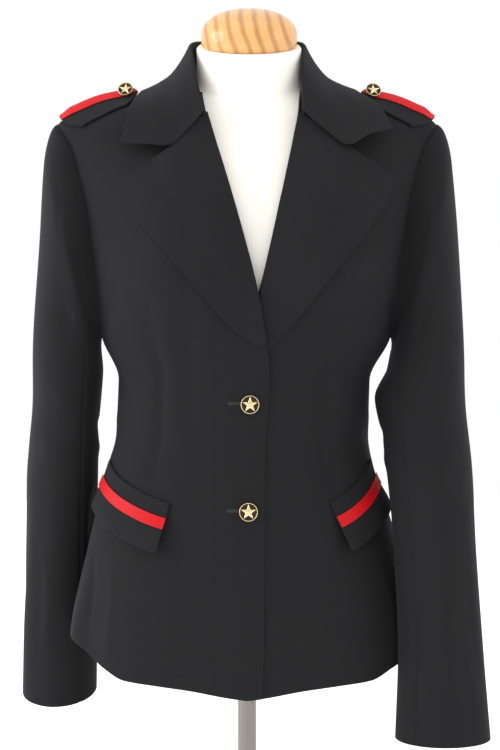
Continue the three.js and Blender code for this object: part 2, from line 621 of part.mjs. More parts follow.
// Half of the collar's fall, from the nape round to its front end.
function fallFace(side, table, lines, columns) {
  const rollLine = outLine(table.roll, side);
  const edgeLine = outLine(table.edge, side);
  const endFlat = flatLine(table.end.map(({ out, z }) => ({ x: side * out, z })));
  const end = (t) => {
    const flat = endFlat(t);
    const { turn, z } = frontSpot(flat.x, flat.z);
    return clothPoint(turn, z, CLOTH + 2 * LAY + 1);
  };
  const nape = (t) => {
    const point = rollLine(0).clone().lerp(edgeLine(0), t);
    point.y += 3 * Math.sin(Math.PI * t);
    return point;
  };
  const shape = patch(nape, end, rollLine, edgeLine, COLLAR_REACH);
  return grid(lines, columns, (s, t) => {
    const point = shape(s, t);
    point.z -= COLLAR_SAG * Math.sin(Math.PI * t ** 0.75) * bell((s - 0.55) / 0.28);
    return clearOfBody(point, CLOTH + 3 * LAY);
  });
}

function makeCollar() {
  const lines = 12;
  const right = fallFace(-1, RIGHT_COLLAR, lines, 7);
  const left = fallFace(1, LEFT_COLLAR, lines, 7);
  const fall = [...right.reverse(), ...left.slice(1)];
  const middle = () => new THREE.Vector3(0, 0, 760);
  return piece('collar', clothWall(fall, waysOut(fall, middle), CLOTH), charcoalCrepe());
}

// ---------------------------------------------------------------- dress form and stand

// The dress form fills the jacket without arms: its ends at the armholes are
// rounded off, and it comes close under the shoulders, where the jacket rests.
function formPoint(turn, z) {
  const seat = smooth(ARMPIT_Z + 120, SHOULDER_TIP_Z, z);
  const bare = bodyPoint(turn, z);
  const inset = CLOTH + mix(FORM_CLEARANCE, FORM_SEAT, seat * bell(bare.y / SEAT_WIDTH));
  const point = bare.addScaledVector(bodyNormal(turn, z), -inset);
  if (z === FORM_BOTTOM_Z) point.z = z;
  const soft = 16;
  const reach = Math.abs(point.x) - (ARM_PLATE_X - soft);
  if (reach > 0 && z > ARMPIT_Z - 60) {
    const cut = ARM_PLATE_X - soft * Math.exp(-reach / soft);
    point.x = Math.sign(point.x) * mix(Math.abs(point.x), cut, smooth(ARMPIT_Z - 60, ARMPIT_Z, z));
  }
  return point;
}

const NECK_RINGS = [
  { z: 813, radius: NECK_RADIUS + 0.6 }, { z: 828, radius: NECK_RADIUS },
  { z: NECK_TOP_Z, radius: NECK_RADIUS },
];

function makeForm() {
  const sides = 36;
  const inForm = (z, i) => z > FORM_BOTTOM_Z + 12 && z < NECKLINE_Z - 7 && (i % 2 || z > ARMPIT_Z);
  const levels = [FORM_BOTTOM_Z, ...heights.filter(inForm)];
  const turns = Array.from({ length: sides }, (_, k) => (k / sides) * 360 - 180);
  const rows = levels.map((z) => turns.map((turn) => formPoint(turn, z)));
  for (const { z, radius } of NECK_RINGS) {
    rows.push(turns.map((turn) => {
      const y = -radius * Math.cos(radians(turn));
      return new THREE.Vector3(NECK_X + radius * Math.sin(radians(turn)), y, z + NECK_SLOPE * y);
    }));
  }
  return piece('form_torso', stackedRings(rows), creamJersey());
}

// A closed solid from a stack of rings, with a flat fan over each end.
function stackedRings(rows) {
  const sides = rows[0].length;
  const centreOf = (ring) => ring.reduce((sum, p) => sum.add(p), new THREE.Vector3()).divideScalar(sides);
  const points = [...rows.flat(), centreOf(rows[0]), centreOf(rows[rows.length - 1])];
  const [bottom, top] = [rows.length * sides, rows.length * sides + 1];
  const index = [];
  for (let i = 0; i + 1 < rows.length; i++) {
    for (let k = 0; k < sides; k++) {
      const [a, b] = [i * sides + k, i * sides + (k + 1) % sides];
      index.push(a, b, b + sides, a, b + sides, a + sides);
    }
  }
  for (let k = 0; k < sides; k++) {
    index.push(bottom, (k + 1) % sides, k);
    const last = (rows.length - 1) * sides;
    index.push(top, last + k, last + (k + 1) % sides);
  }
  return solidFrom(points.flatMap((p) => [p.x, p.y, p.z]), index);
}

// A body of revolution about +Z from a profile of [radius, height] pairs.
function turned(profilePoints, segments) {
  const geometry = new THREE.LatheGeometry(profilePoints.map(([r, h]) => new THREE.Vector2(r, h)), segments);
  geometry.rotateX(Math.PI / 2);
  return geometry;
}

function makeStand() {
  const { radius, height, edge } = BASE;
  const base = piece('stand_base', turned([
    [0, 0], [radius, 0], [radius, height - edge], [radius - edge, height], [0, height],
  ], 40), polishedSteel());
  const poleLength = FORM_BOTTOM_Z - height - 2 * SEAM_GAP;
  const pole = piece('stand_pole', turned([
    [0, 0], [POLE_RADIUS, 0], [POLE_RADIUS, poleLength], [0, poleLength],
  ], 24), polishedSteel());
  pole.position.z = height + SEAM_GAP;
  return [base, pole];
}

function makeNeckCap() {
  const { radius, height, edge } = CAP;
  const outline = [[0, 0], [radius - edge, 0], [radius, edge]];
  const wall = height * 0.3;
  const steps = 7;
  for (let i = 0; i < steps; i++) {
    const angle = (i / steps) * (Math.PI / 2);
    outline.push([radius * Math.cos(angle) ** 0.85, wall + (height - wall) * Math.sin(angle)]);
  }
  outline.push([0, height]);
  const cap = piece('neck_cap', turned(outline, 32), varnishedPine());
  cap.position.set(NECK_X, 0, NECK_TOP_Z + SEAM_GAP);
  cap.rotation.x = Math.atan(NECK_SLOPE);
  return cap;
}

// ---------------------------------------------------------------- pockets

// A place on the front by fractions: along from the pocket's front end to its
// side end, and down the slope of the flap in millimetres.
function pocketSpot(pocket, along, down) {
  const turn = mix(pocket.turnFront, pocket.turnSide, along);
  const z = mix(pocket.frontZ, pocket.sideZ, along ** 1.1) - down;
  const inwards = Math.sign(pocket.turnSide) * -0.05 * down;
  return { turn: turn - inwards, z };
}

function makePocket(pocket) {
  const { depth, thickness, lift, frontLift, welt } = FLAP;
  const under = ({ turn, z }) => (pocket.side === 'right' ? lapLift(bodyPoint(turn, z).x, z) : 0);
  const rise = (along, down) => {
    const hang = smooth(0, depth, down);
    return lift * hang + (frontLift - lift) * hang * (1 - smooth(0, 0.35, along)) + thickness + LAY;
  };
  const strip = (lines, wall, from, to, out) => laidWall(lines, 12, wall,
    (s, t) => pocketSpot(pocket, t, mix(from, to, s)),
    (s, t, spot) => under(spot) + out(t, mix(from, to, s)));
  const flap = strip(5, thickness, 0, depth, rise);
  const band = strip(1, thickness, -welt - SEAM_GAP, -SEAM_GAP, () => thickness + LAY);
  const overFlap = (along, down) => rise(along, down) + LAY + RIBBON.thickness;
  const ribbon = strip(2, RIBBON.thickness, RIBBON_TOP, RIBBON_TOP + RIBBON.width, overFlap);
  return [
    piece(`pocket_flap_${pocket.side}`, flap, charcoalCrepe()),
    piece(`pocket_welt_${pocket.side}`, band, charcoalCrepe()),
    piece(`flap_ribbon_${pocket.side}`, ribbon, redSatin()),
  ];
}

// ---------------------------------------------------------------- shoulder straps

// A place on the shoulder by its distance out and its distance across the
// strap, minus towards the front.
function shoulderSpot(side, out, across) {
  const ridge = shoulderRidge(out);
  const turnAt = (away) => side * (90 + Math.sign(across) * away);
  let [near, far] = [0, 60];
  for (let step = 0; step < 20; step++) {
    const away = (near + far) / 2;
    const here = bodyPoint(turnAt(away), ridge.zAt(turnAt(away)));
    if (Math.hypot(here.y, here.z - ridge.height) < Math.abs(across)) near = away;
    else far = away;
  }
  const turn = turnAt(near);
  return { turn, z: ridge.zAt(turn) };
}

// The rings that pass a given distance out, at any turn.
function shoulderRidge(out) {
  const zAt = (turn) => {
    let [low, high] = [SHOULDER_TIP_Z - 60, NECKLINE_Z];
    for (let step = 0; step < 24; step++) {
      const z = (low + high) / 2;
      if (Math.abs(bodyPoint(turn, z).x) > out) low = z;
      else high = z;
    }
    return (low + high) / 2;
  };
  return { zAt, height: bodyPoint(90, zAt(90)).z };
}

// How high the strap stands over the shoulder's crest, by distance to the back and share out.
function strapCrown(across, s) {
  const crest = -2;
  return STRAP_CROWN.rise * bell((across - crest) / STRAP_CROWN.width) * (1 - 0.6 * smooth(0.8, 1, s));
}

function makeStrap(side, name) {
  const { inner, outer, innerHalf, outerHalf, point, thickness } = STRAP;
  const start = inner + (side > 0 ? STRAP_SHIFT : 0);
  const strip = (columns, wall, half, out) => laidWall(9, columns, wall,
    (s, t) => {
      const across = (2 * t - 1) * half(s) - STRAP_FORWARD;
      const end = outer - STRAP_END_CURVE * across * across;
      return shoulderSpot(side, mix(start + point * Math.abs(2 * t - 1), end, s), across);
    },
    (s, t) => out + strapCrown((2 * t - 1) * half(s) - STRAP_FORWARD, s));
  const strapFace = 2 * LAY + thickness;
  const strap = strip(6, thickness, (s) => mix(innerHalf, outerHalf, s), strapFace);
  const ribbon = strip(2, RIBBON.thickness, () => RIBBON.width / 2, strapFace + 2 * LAY + RIBBON.thickness);
  return [
    piece(`strap_${name}`, strap, charcoalCrepe()),
    piece(`strap_ribbon_${name}`, ribbon, redSatin()),
  ];
}

// ---------------------------------------------------------------- buttons

// A metal shank button with a raised rim and a raised five-pointed star.
function buttonGeometry(radius) {
  const { height, rim, shankRadius, starTip } = BUTTON;
  const floor = height - 1;
  const scale = radius / BUTTON.radius;
  const disc = turned([
    [0, 0], [shankRadius, 0], [shankRadius, 1], [radius - 1, 1.2], [radius, 2],
    [radius, height - 0.4], [radius - rim / 2, height], [radius - rim, floor], [0, floor],
  ], 20);
  const corners = [];
  for (let i = 0; i < 10; i++) {
    const reach = scale * (i % 2 ? starTip * 0.42 : starTip);
    const angle = (i * Math.PI) / 5 + Math.PI / 2;
    corners.push([reach * Math.cos(angle), reach * Math.sin(angle)]);
  }
  const low = floor - 0.4;
  const edge = floor + 0.35;
  const positions = [0, 0, low, 0, 0, height + 0.3];
  for (const [x, y] of corners) positions.push(x, y, low, x, y, edge);
  const index = [];
  for (let i = 0; i < 10; i++) {
    const [a, b] = [2 + 2 * i, 2 + 2 * ((i + 1) % 10)];
    index.push(0, b, a, 1, a + 1, b + 1, a, b, b + 1, a, b + 1, a + 1);
  }
  return joined(disc, solidFrom(positions, index));
}

function toManifold(geometry) {
  const bare = geometry.clone();
  for (const name of Object.keys(bare.attributes)) if (name !== 'position') bare.deleteAttribute(name);
  const merged = mergeVertices(bare, 1e-4);
  return new wasm.Manifold(new wasm.Mesh({
    numProp: 3,
    vertProperties: new Float32Array(merged.attributes.position.array),
    triVerts: new Uint32Array(merged.index.array),
  }));
}

function joined(first, second) {
  const mesh = toManifold(first).add(toManifold(second)).getMesh();
  return solidFrom(Array.from(mesh.vertProperties), Array.from(mesh.triVerts));
}

function placeButton(name, point, normal, radius) {
  const mesh = piece(name, buttonGeometry(radius), paleGold());
  mesh.position.copy(point);
  mesh.quaternion.setFromUnitVectors(new THREE.Vector3(0, 0, 1), normal);
  return mesh;
}

function makeButtons() {
  const front = Object.entries(BUTTON_SPOTS).map(([name, { x, z: height }]) => {
    const { turn, z } = frontSpot(x, height);
    const seat = clothPoint(turn, z, lapLift(x, z) + LAY);
    const mesh = placeButton(name, seat, new THREE.Vector3(0, 0, 1), BUTTON.radius);
    mesh.rotation.set(Math.PI / 2, 0, 0);
    return mesh;
  });
  const straps = [['right', -1], ['left', 1]].map(([name, side]) => {
    const { radius, forward, tip, stand } = STRAP_BUTTON;
    const out = STRAP.inner + STRAP.point + (side > 0 ? STRAP_SHIFT : 0);
    const spot = shoulderSpot(side, out, -forward);
    const under = 4 * LAY + STRAP.thickness + RIBBON.thickness + strapCrown(-forward, 0);
    const seat = clothPoint(spot.turn, spot.z, under + stand);
    const across = new THREE.Vector3(1, 0, 0);
    const facing = bodyNormal(spot.turn, spot.z).applyAxisAngle(across, radians(tip));
    return placeButton(`strap_button_${name}`, seat, facing, radius);
  });
  return [...front, ...straps];
}

// ---------------------------------------------------------------- assembly

function piece(name, geometry, material) {
  const mesh = new THREE.Mesh(geometry, material);
  mesh.name = name;
  return mesh;
}

const group = new THREE.Group();
group.add(...makeStand(), makeForm(), makeNeckCap());
group.add(...makeBody());
group.add(...makeSleeve('right', -1, RIGHT_SLEEVE));
group.add(...makeSleeve('left', 1, LEFT_SLEEVE));
group.add(makeLapel('lapel_right', RIGHT_LAPEL, lapLift, 0.6));
group.add(makeLapel('lapel_left', LEFT_LAPEL, () => 0, 11));
group.add(makeCollar());
for (const pocket of POCKETS) group.add(...makePocket(pocket));
group.add(...makeStrap(-1, 'right'), ...makeStrap(1, 'left'));
group.add(...makeButtons());

export default group;
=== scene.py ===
"""A fitted charcoal blazer with red ribbon trims, worn by a limbless dress form on a steel stand."""
import math

import bpy
import numpy as np
from mathutils import Matrix, Vector


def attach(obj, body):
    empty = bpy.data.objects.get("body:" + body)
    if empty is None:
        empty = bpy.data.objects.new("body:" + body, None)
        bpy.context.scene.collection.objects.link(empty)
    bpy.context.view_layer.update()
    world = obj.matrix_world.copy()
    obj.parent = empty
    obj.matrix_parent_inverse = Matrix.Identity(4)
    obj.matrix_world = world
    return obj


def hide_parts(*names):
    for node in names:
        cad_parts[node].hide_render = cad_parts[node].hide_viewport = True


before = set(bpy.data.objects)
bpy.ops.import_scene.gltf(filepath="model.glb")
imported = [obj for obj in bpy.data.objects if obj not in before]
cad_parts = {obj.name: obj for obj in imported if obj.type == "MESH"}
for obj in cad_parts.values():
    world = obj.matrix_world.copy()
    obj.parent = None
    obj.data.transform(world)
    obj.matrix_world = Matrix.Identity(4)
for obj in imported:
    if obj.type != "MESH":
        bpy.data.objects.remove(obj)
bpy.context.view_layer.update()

MM = 0.001  # tables and shapes are in millimetres, meshes in metres

# ---------------------------------------------------------------- sizes

CLOTH = 1.6  # one layer with its fusing
SEAM_GAP = 0.3
LAY = 0.4  # under a piece that lies on another
ARMHOLE_GAP = 0.7
LAP = CLOTH + LAY  # how far the right front rides over the left one
WAIST_Z, ARMPIT_Z, SHOULDER_TIP_Z, NECKLINE_Z, HEM_Z = 455, 553, 773, 815, 255
BASE_RADIUS, BASE_HEIGHT, BASE_EDGE = 150, 11, 3
POLE_RADIUS = 9.6
FORM_BOTTOM_Z, FORM_CLEARANCE, FORM_SEAT, SEAT_WIDTH = 292, 5, 0.35, 38
ARM_PLATE_X, ARM_PLATE_SOFT = 158, 16
NECK_X, NECK_RADIUS, NECK_TOP_Z, NECK_SLOPE = 2, 54, 853, 0.33
CAP_RADIUS, CAP_HEIGHT, CAP_EDGE = 49.5, 38, 1.5
RIBBON_THICKNESS, RIBBON_WIDTH, RIBBON_TOP = 0.9, 10.5, 6
BUST_X, BUST_WIDTH = 78, 50
SLEEVE_SEAM_FRONT, SLEEVE_SEAM_BACK = 128, 112
HEM_CLEAR_Z = 225
FLAP_DEPTH, FLAP_THICKNESS, FLAP_LIFT, FLAP_FRONT_LIFT, WELT = 39, 2.4, 4.5, 10, 8
STRAP_INNER, STRAP_OUTER, STRAP_POINT, STRAP_THICKNESS = 111, 190, 11, 2.2
STRAP_INNER_HALF, STRAP_OUTER_HALF, STRAP_FORWARD, STRAP_SHIFT = 22, 29, 11, 5
STRAP_CROWN, STRAP_CROWN_WIDTH = 6, 13  # the strap bridges the shoulder in a low ridge
STRAP_CREST = -2  # where the ridge runs, in front of the shoulder's line
STRAP_END_CURVE = 0.014  # how the sewn end follows the sleeve head
RIBBON_WALL = 0.6
BUTTON_RADIUS, BUTTON_FIELD_RADIUS, BUTTON_FIELD_HEIGHT = 10, 8.4, 2.2  # of the pattern that is scaled
FRONT_BUTTON_RADIUS, STRAP_BUTTON_RADIUS = 9.2, 8
STAR_TIP, STAR_NOTCH = 8.4, 3.3
STRAP_BUTTON_FORWARD, STRAP_BUTTON_STAND, STRAP_BUTTON_DROOP = 12.5, 2.2, 40
FRONT_BUTTONS = (("upper", 3, 486), ("lower", 1.5, 381))  # distance across and height
# A buttonhole starts and ends this far to the side of its button's middle, a little above it.
BUTTONHOLE_START, BUTTONHOLE_END, BUTTONHOLE_UP = 21, 8, 1
STITCHES, STITCH_LENGTH, STITCH_WIDTH, STITCH_RISE = 34, 1.5, 0.42, 0.1

# Level rings of the worn jacket: height, half width, sideways shift, front depth, back
# depth, squareness, bust depth, and how far the ring tips down in front and up behind.
RINGS = [
    (190, 188, 0, 122, 130, 2.15, 0, 0, 0), (255, 180, -1, 118, 126, 2.15, 0, 0, 0),
    (304, 169, -2, 114, 121, 2.15, 0, 0, 0), (374, 150.5, -5, 106, 110, 2.2, 0, 0, 0),
    (415, 138.5, -7, 99, 99, 2.2, 0, 0, 0), (455, 129.5, -5, 93, 88, 2.2, 0, 0, 0),
    (510, 129, -3, 95, 85, 2.2, 1, 0, 0), (553, 148, -1, 103, 92, 2.2, 6, 0, 0),
    (620, 161, 0, 109, 105, 2.25, 14, 0, 0), (680, 172, 0, 102, 111, 2.25, 9, 0.02, 0),
    (735, 186, 0, 84, 106, 2.15, 2, 0.12, 0), (773, 194, 0, 63, 86, 2.05, 0, 0.25, 0),
    (786, 171, 0, 60, 78, 2, 0, 0.29, 0.04), (795, 149, 0, 59, 72, 2, 0, 0.31, 0.12),
    (803, 112, 0, 58.5, 67, 2, 0, 0.33, 0.24), (815, 69, 2, 60, 62, 2, 0, 0.33, 0.33),
]
HEM_FRONT = [(0, 200), (15, 202), (53, 208.5), (85, 212), (119, 215.5), (139, 225), (151, 232), (181, 255)]
HEM_BACK = [(0, 238), (90, 240), (181, 256)]
ARMHOLE = [(553, 1), (566, 0.973), (600, 0.95), (640, 0.94), (711, 0.928), (752, 0.937), (773, 1)]

# Front edges, height and distance across: the free edge, and above the break the roll.
RIGHT_EDGE = [
    (190, 12), (290, 14.5), (440, 17.5), (515, 21.5), (545, 19.5), (569, 14.8), (598, 9.5),
    (647, -2.5), (706, -19), (760, -33), (815, -46),
]
LEFT_EDGE = [
    (190, -20), (515, -19), (545, -10), (569, 3), (598, 12.5), (647, 24), (706, 36), (760, 47), (815, 54),
]

# Lapels in front view, from the break up: roll line, outer edge, and gorge with the peak.
RIGHT_LAPEL = {
    "roll": [(19, 545), (10, 598), (-2, 647), (-18.5, 706), (-40, 778)],
    "outer": [(14, 541), (-14, 560), (-54, 606), (-88, 645), (-112, 672), (-121, 690), (-124, 708)],
    "top": [(-40, 778), (-60, 760), (-77, 741), (-106, 721), (-124, 708)],
}
LEFT_LAPEL = {
    "roll": [(11, 545), (14, 598), (24.5, 647), (37, 706), (52, 778)],
    "outer": [(22, 539), (52, 573), (79, 606), (110, 644), (129, 670), (141, 690), (149, 708)],
    "top": [(52, 778), (79, 760), (101, 743), (128, 725), (149, 708)],
}

# Collar from the nape round to its front end: share, distance out, depth and height.
# Roll is its top fold, edge its free edge, end the gorge, the notch and the short end.
RIGHT_COLLAR = {
    "roll": [(0, 0, 66, 872), (0.25, 40, 52, 869), (0.45, 59, 14, 860), (0.6, 56, -20, 842),
             (0.8, 50, -48, 810), (1, 42, -66, 781)],
    "edge": [(0, 0, 78, 822), (0.25, 62, 62, 819), (0.45, 103, 22, 813), (0.6, 111, -14, 803),
             (0.8, 118, -48, 784), (1, 125, -74, 746)],
    "end": [(42, 781), (60, 761), (77, 744), (102, 744), (125, 746)],
}
LEFT_COLLAR = {
    "roll": [(0, 0, 66, 872), (0.25, 40, 52, 869), (0.45, 59.5, 14, 860), (0.6, 57, -20, 842),
             (0.8, 56, -48, 810), (1, 56, -66, 780)],
    "edge": [(0, 0, 78, 822), (0.25, 64, 62, 820), (0.45, 106, 22, 814), (0.6, 116, -13, 804),
             (0.8, 133, -44, 787), (1, 144, -72, 761)],
    "end": [(56, 780), (80, 759), (102, 743), (122, 754), (144, 761)],
}
COLLAR_SAG = 6  # hollow of the fall on the shoulder
COLLAR_REACH = 3

# Sleeve rings: share down, outer point, inner point, set back, half the depth.
RIGHT_SLEEVE = [
    (0, 196, 775, 151, 553, 0, 46), (0.05, 205, 764, 151, 545, 2, 58), (0.14, 210, 722, 150, 534, 5, 62),
    (0.26, 214, 655, 149, 520, 8, 60), (0.4, 221, 560, 151, 492, 12, 56), (0.55, 226, 452, 155, 430, 24, 51),
    (0.7, 233, 350, 158, 345, 50, 46), (0.85, 238, 255, 160, 254, 74, 41), (1, 240, 178, 161, 181, 78, 38),
]
LEFT_SLEEVE = [
    (0, 196, 775, 151, 553, 0, 46), (0.05, 206, 764, 150, 545, -1, 57), (0.14, 211, 722, 147, 534, -3, 61),
    (0.26, 216, 655, 143, 518, -8, 59), (0.4, 220, 560, 130, 490, -22, 53),
    (0.55, 223, 452, 139, 430, -46, 48), (0.7, 227, 345, 146, 340, -72, 44),
    (0.85, 233, 245, 149, 245, -84, 41), (1, 240, 158, 146, 158, -86, 40),
]
SLEEVE_OFF_BODY, SLEEVE_OFF_POCKET = 3, 10
CUFF_DIP = {-1: 13, 1: 3}  # how much lower each cuff hangs at its front

# Main folds of the body: degrees round, lowest and highest reach, width in degrees, rise.
FOLDS = [
    (-37, 395, 610, 4.5, -2.6), (-31, 420, 600, 6, 1.4), (36, 390, 610, 4.5, -2.8), (44, 430, 600, 7, 1.8),
    (-72, 215, 375, 7, 3.5), (-58, 210, 350, 8, -3), (62, 205, 350, 9, 2.6), (110, 225, 400, 9, 3),
    (142, 225, 560, 6, -2.4), (-118, 225, 390, 9, 2.8), (-144, 225, 570, 6, -2.4),
]
# Main folds of both sleeves: degrees round, share down, length as a share, width, rise.
SLEEVE_FOLDS = [
    (-35, 0.5, 0.05, 40, -3), (20, 0.6, 0.06, 50, 2), (-95, 0.3, 0.1, 22, -2.5),
    (-60, 0.82, 0.16, 16, -2), (120, 0.48, 0.06, 50, -3),
]
RIGHT_POCKET = {"side": -1, "turn": (-27, -76), "z": (380, 419)}
LEFT_POCKET = {"side": 1, "turn": (35.5, 75), "z": (381, 421)}

# Fine creases of the body, each a soft line between two places: degrees round and
# height at its start and end, half width in millimetres, rise, minus for a trough.
CREASES = [
    (-37, 398, -36, 612, 1.3, -0.9), (36, 395, 36, 612, 1.3, -0.9),
    (142, 262, 143, 640, 1.3, -0.8), (-144, 262, -143, 640, 1.3, -0.8),
    (-84, 452, -52, 470, 7, -1.6), (-86, 470, -56, 492, 6, 1.1), (-80, 512, -48, 500, 8, -1.1),
    (84, 448, 54, 462, 7, -1.5), (86, 468, 58, 486, 6, 1.0), (82, 505, 50, 494, 8, -1.0),
    (-62, 250, -70, 345, 5, -1.6), (-48, 232, -54, 330, 6, 1.2), (-83, 262, -80, 350, 6, 1.4),
    (52, 230, 55, 335, 6, 1.2), (70, 240, 66, 340, 5, -1.5), (24, 222, 27, 320, 8, -1.1),
    (-70, 560, -52, 605, 8, -1.4), (72, 560, 54, 610, 8, -1.3), (-20, 430, -27, 460, 9, 0.9),
    (118, 455, 150, 472, 7, -1.7), (122, 476, 158, 488, 7, 1.2), (-116, 450, -148, 470, 7, -1.6),
    (-120, 474, -160, 486, 7, 1.2), (128, 505, 162, 498, 8, -1.1), (-126, 508, -158, 500, 8, -1.1),
    (158, 250, 154, 380, 8, 1.4), (-160, 248, -156, 372, 8, 1.3), (125, 240, 128, 345, 7, -1.6),
    (-130, 240, -132, 350, 7, -1.5), (112, 565, 132, 640, 9, -1.6), (-112, 565, -130, 650, 9, -1.5),
    (150, 700, 128, 745, 9, 1.0), (-152, 695, -126, 742, 9, 1.0),
]
BODY_DEGREE, SLEEVE_DEGREE = 2.4, 1.05  # millimetres for each degree round
# The same on the sleeves, by degrees round from the outside and height.
RIGHT_CREASES = [
    (-110, 470, -60, 455, 9, -2.2), (-125, 500, -75, 492, 8, 1.6), (-60, 440, -5, 425, 11, -1.7),
    (100, 470, 60, 500, 9, -2.0), (125, 445, 70, 462, 9, 1.5), (-100, 620, -70, 560, 10, -1.8),
    (110, 620, 84, 560, 10, -1.8), (-70, 330, -62, 210, 9, 1.2), (-20, 390, 10, 250, 12, -1.2),
    (60, 330, 76, 220, 10, 1.3), (-78, 545, -40, 500, 11, 1.3), (150, 480, 190, 492, 9, -2.0),
    (160, 455, 205, 462, 9, 1.4), (-60, 730, -74, 690, 8, -1.0), (50, 735, 66, 690, 9, -1.0),
]
LEFT_CREASES = [
    (-118, 452, -66, 440, 9, -2.3), (-128, 486, -80, 474, 8, 1.6), (-70, 412, -12, 404, 11, -1.8),
    (95, 455, 55, 486, 9, -2.0), (122, 430, 66, 446, 9, 1.5), (-104, 610, -76, 548, 10, -1.9),
    (108, 612, 82, 552, 10, -1.8), (-84, 320, -70, 190, 8, 1.6), (-44, 350, -30, 215, 11, -1.5),
    (56, 320, 72, 205, 10, 1.3), (-66, 540, -30, 490, 11, 1.4), (152, 470, 192, 482, 9, -2.0),
    (158, 440, 204, 450, 9, 1.4), (-58, 728, -72, 688, 8, -1.0), (52, 733, 64, 688, 9, -1.0),
]

# ---------------------------------------------------------------- plain maths


def mix(a, b, t):
    return a + (b - a) * t


def smooth(low, high, value):
    t = np.clip((np.asarray(value, float) - low) / (high - low), 0, 1)
    return t * t * (3 - 2 * t)


def bell(distance):
    return np.exp(-np.asarray(distance, float) ** 2)


def unit(way):
    return way / np.maximum(np.linalg.norm(way, axis=-1, keepdims=True), 1e-9)


def table_curve(rows):
    """A smooth curve through a table's rows, read by the first column, that never swings past them."""
    table = np.array(rows, float)
    at, value = table[:, 0], table[:, 1:]
    slope = np.diff(value, axis=0) / np.diff(at)[:, None]
    before, after = slope[:-1], slope[1:]
    total = before + after
    inner = np.where(before * after > 0, 2 * before * after / np.where(total == 0, 1, total), 0)
    tangent = np.vstack([slope[:1], inner, slope[-1:]])

    def read(wanted):
        wanted = np.asarray(wanted, float)
        i = np.clip(np.searchsorted(at, wanted, side="right") - 1, 0, len(at) - 2)
        span = (at[i + 1] - at[i])[..., None]
        t = np.clip((wanted - at[i])[..., None] / span, 0, 1)
        rest = 1 - t
        return (value[i] * (1 + 2 * t) * rest * rest + tangent[i] * span * t * rest * rest
                + value[i + 1] * t * t * (3 - 2 * t) - tangent[i + 1] * span * t * t * rest)
    return read


def line_through(points, steps=40):
    """A centripetal spline through points, read by the fraction of its length."""
    p = np.array(points, float)
    p = np.vstack([2 * p[0] - p[1], p, 2 * p[-1] - p[-2]])
    gap = np.sqrt(np.linalg.norm(np.diff(p, axis=0), axis=1))
    dense = []
    for i in range(1, len(p) - 2):
        g0, g1, g2 = gap[i - 1], gap[i], gap[i + 1]
        m1 = ((p[i] - p[i - 1]) / g0 - (p[i + 1] - p[i - 1]) / (g0 + g1) + (p[i + 1] - p[i]) / g1) * g1
        m2 = ((p[i + 1] - p[i]) / g1 - (p[i + 2] - p[i]) / (g1 + g2) + (p[i + 2] - p[i + 1]) / g2) * g1
        t = np.linspace(0, 1, steps, endpoint=False)[:, None]
        dense.append(p[i] * (1 + 2 * t) * (1 - t) ** 2 + m1 * t * (1 - t) ** 2
                     + p[i + 1] * t * t * (3 - 2 * t) - m2 * t * t * (1 - t))
    dense = np.vstack([*dense, p[-2:-1]])
    along = np.r_[0, np.cumsum(np.linalg.norm(np.diff(dense, axis=0), axis=1))]

    def read(t):
        wanted = np.clip(t, 0, 1) * along[-1]
        return np.stack([np.interp(wanted, along, column) for column in dense.T], -1)
    return read


def patch(start, end, low, high, reach=1):
    """A surface between four border curves: start and end run along t, low and high along s.
    The greater the reach, the nearer to itself the end keeps its own shape."""
    def read(s, t):
        a, b = s[..., None] ** reach, t[..., None]
        return (start(t) * (1 - a) + end(t) * a + low(s) * (1 - b) + high(s) * b
                - start(0.0) * (1 - a) * (1 - b) - start(1.0) * (1 - a) * b
                - end(0.0) * a * (1 - b) - end(1.0) * a * b)
    return read


# ---------------------------------------------------------------- the worn body

ring_at = table_curve(RINGS)
armhole_reach = table_curve(ARMHOLE)
hem_front, hem_back = table_curve(HEM_FRONT), table_curve(HEM_BACK)


def body_point(turn, z):
    """A point of the bare worn form, by degrees round from the centre front and ring height."""
    turn, z = np.broadcast_arrays(np.asarray(turn, float), np.asarray(z, float))
    half, shift, front, back, square, bust, lean_front, lean_back = np.moveaxis(ring_at(z), -1, 0)
    power = 2 / square
    sine, cosine = np.sin(np.radians(turn)), np.cos(np.radians(turn))
    across = np.sign(sine) * half * np.abs(sine) ** power
    y = -np.sign(cosine) * np.where(cosine > 0, front, back) * np.abs(cosine) ** power
    y = y - (cosine > 0) * bust * bell((np.abs(across) - BUST_X) / BUST_WIDTH) * smooth(0, 0.5, cosine)
    lean = mix(lean_front, lean_back, smooth(-30, 30, y))
    return np.stack([across + shift, y, z + lean * y], -1)


def body_normal(turn, z):
    across = body_point(turn + 0.4, z) - body_point(turn - 0.4, z)
    up = body_point(turn, z + 0.6) - body_point(turn, z - 0.6)
    return unit(np.cross(across, up))


def crease_lines(creases, across, z, scale):
    """The rise of soft creases; scale is the millimetres for each degree round."""
    rise = np.zeros(np.shape(z))
    for turn_a, z_a, turn_b, z_b, width, height in creases:
        dx, dz = (turn_b - turn_a) * scale, z_b - z_a
        px, pz = (across - turn_a) * scale, z - z_a
        length = math.hypot(dx, dz)
        along = (px * dx + pz * dz) / length ** 2
        bow = 0.06 * length * np.sin(np.pi * np.clip(along, 0, 1)) * (1 if width > 4 else 0)
        apart = (px * dz - pz * dx) / length - bow
        fade = smooth(-0.15, 0.3, along) * (1 - smooth(0.6, 1.15, along))
        rise += height * fade * bell(apart / width)
    return rise


def crease_rise(turn, z):
    return crease_lines(CREASES, turn, z, BODY_DEGREE)


def sleeve_crease(side, around, down):
    """Creases of one sleeve by degrees round from its outside and share down."""
    z = 775 - 605 * down
    turned_back = ((around + 540 - 40) % 360) - 180 + 40
    return crease_lines(LEFT_CREASES if side > 0 else RIGHT_CREASES, turned_back, z, SLEEVE_DEGREE)


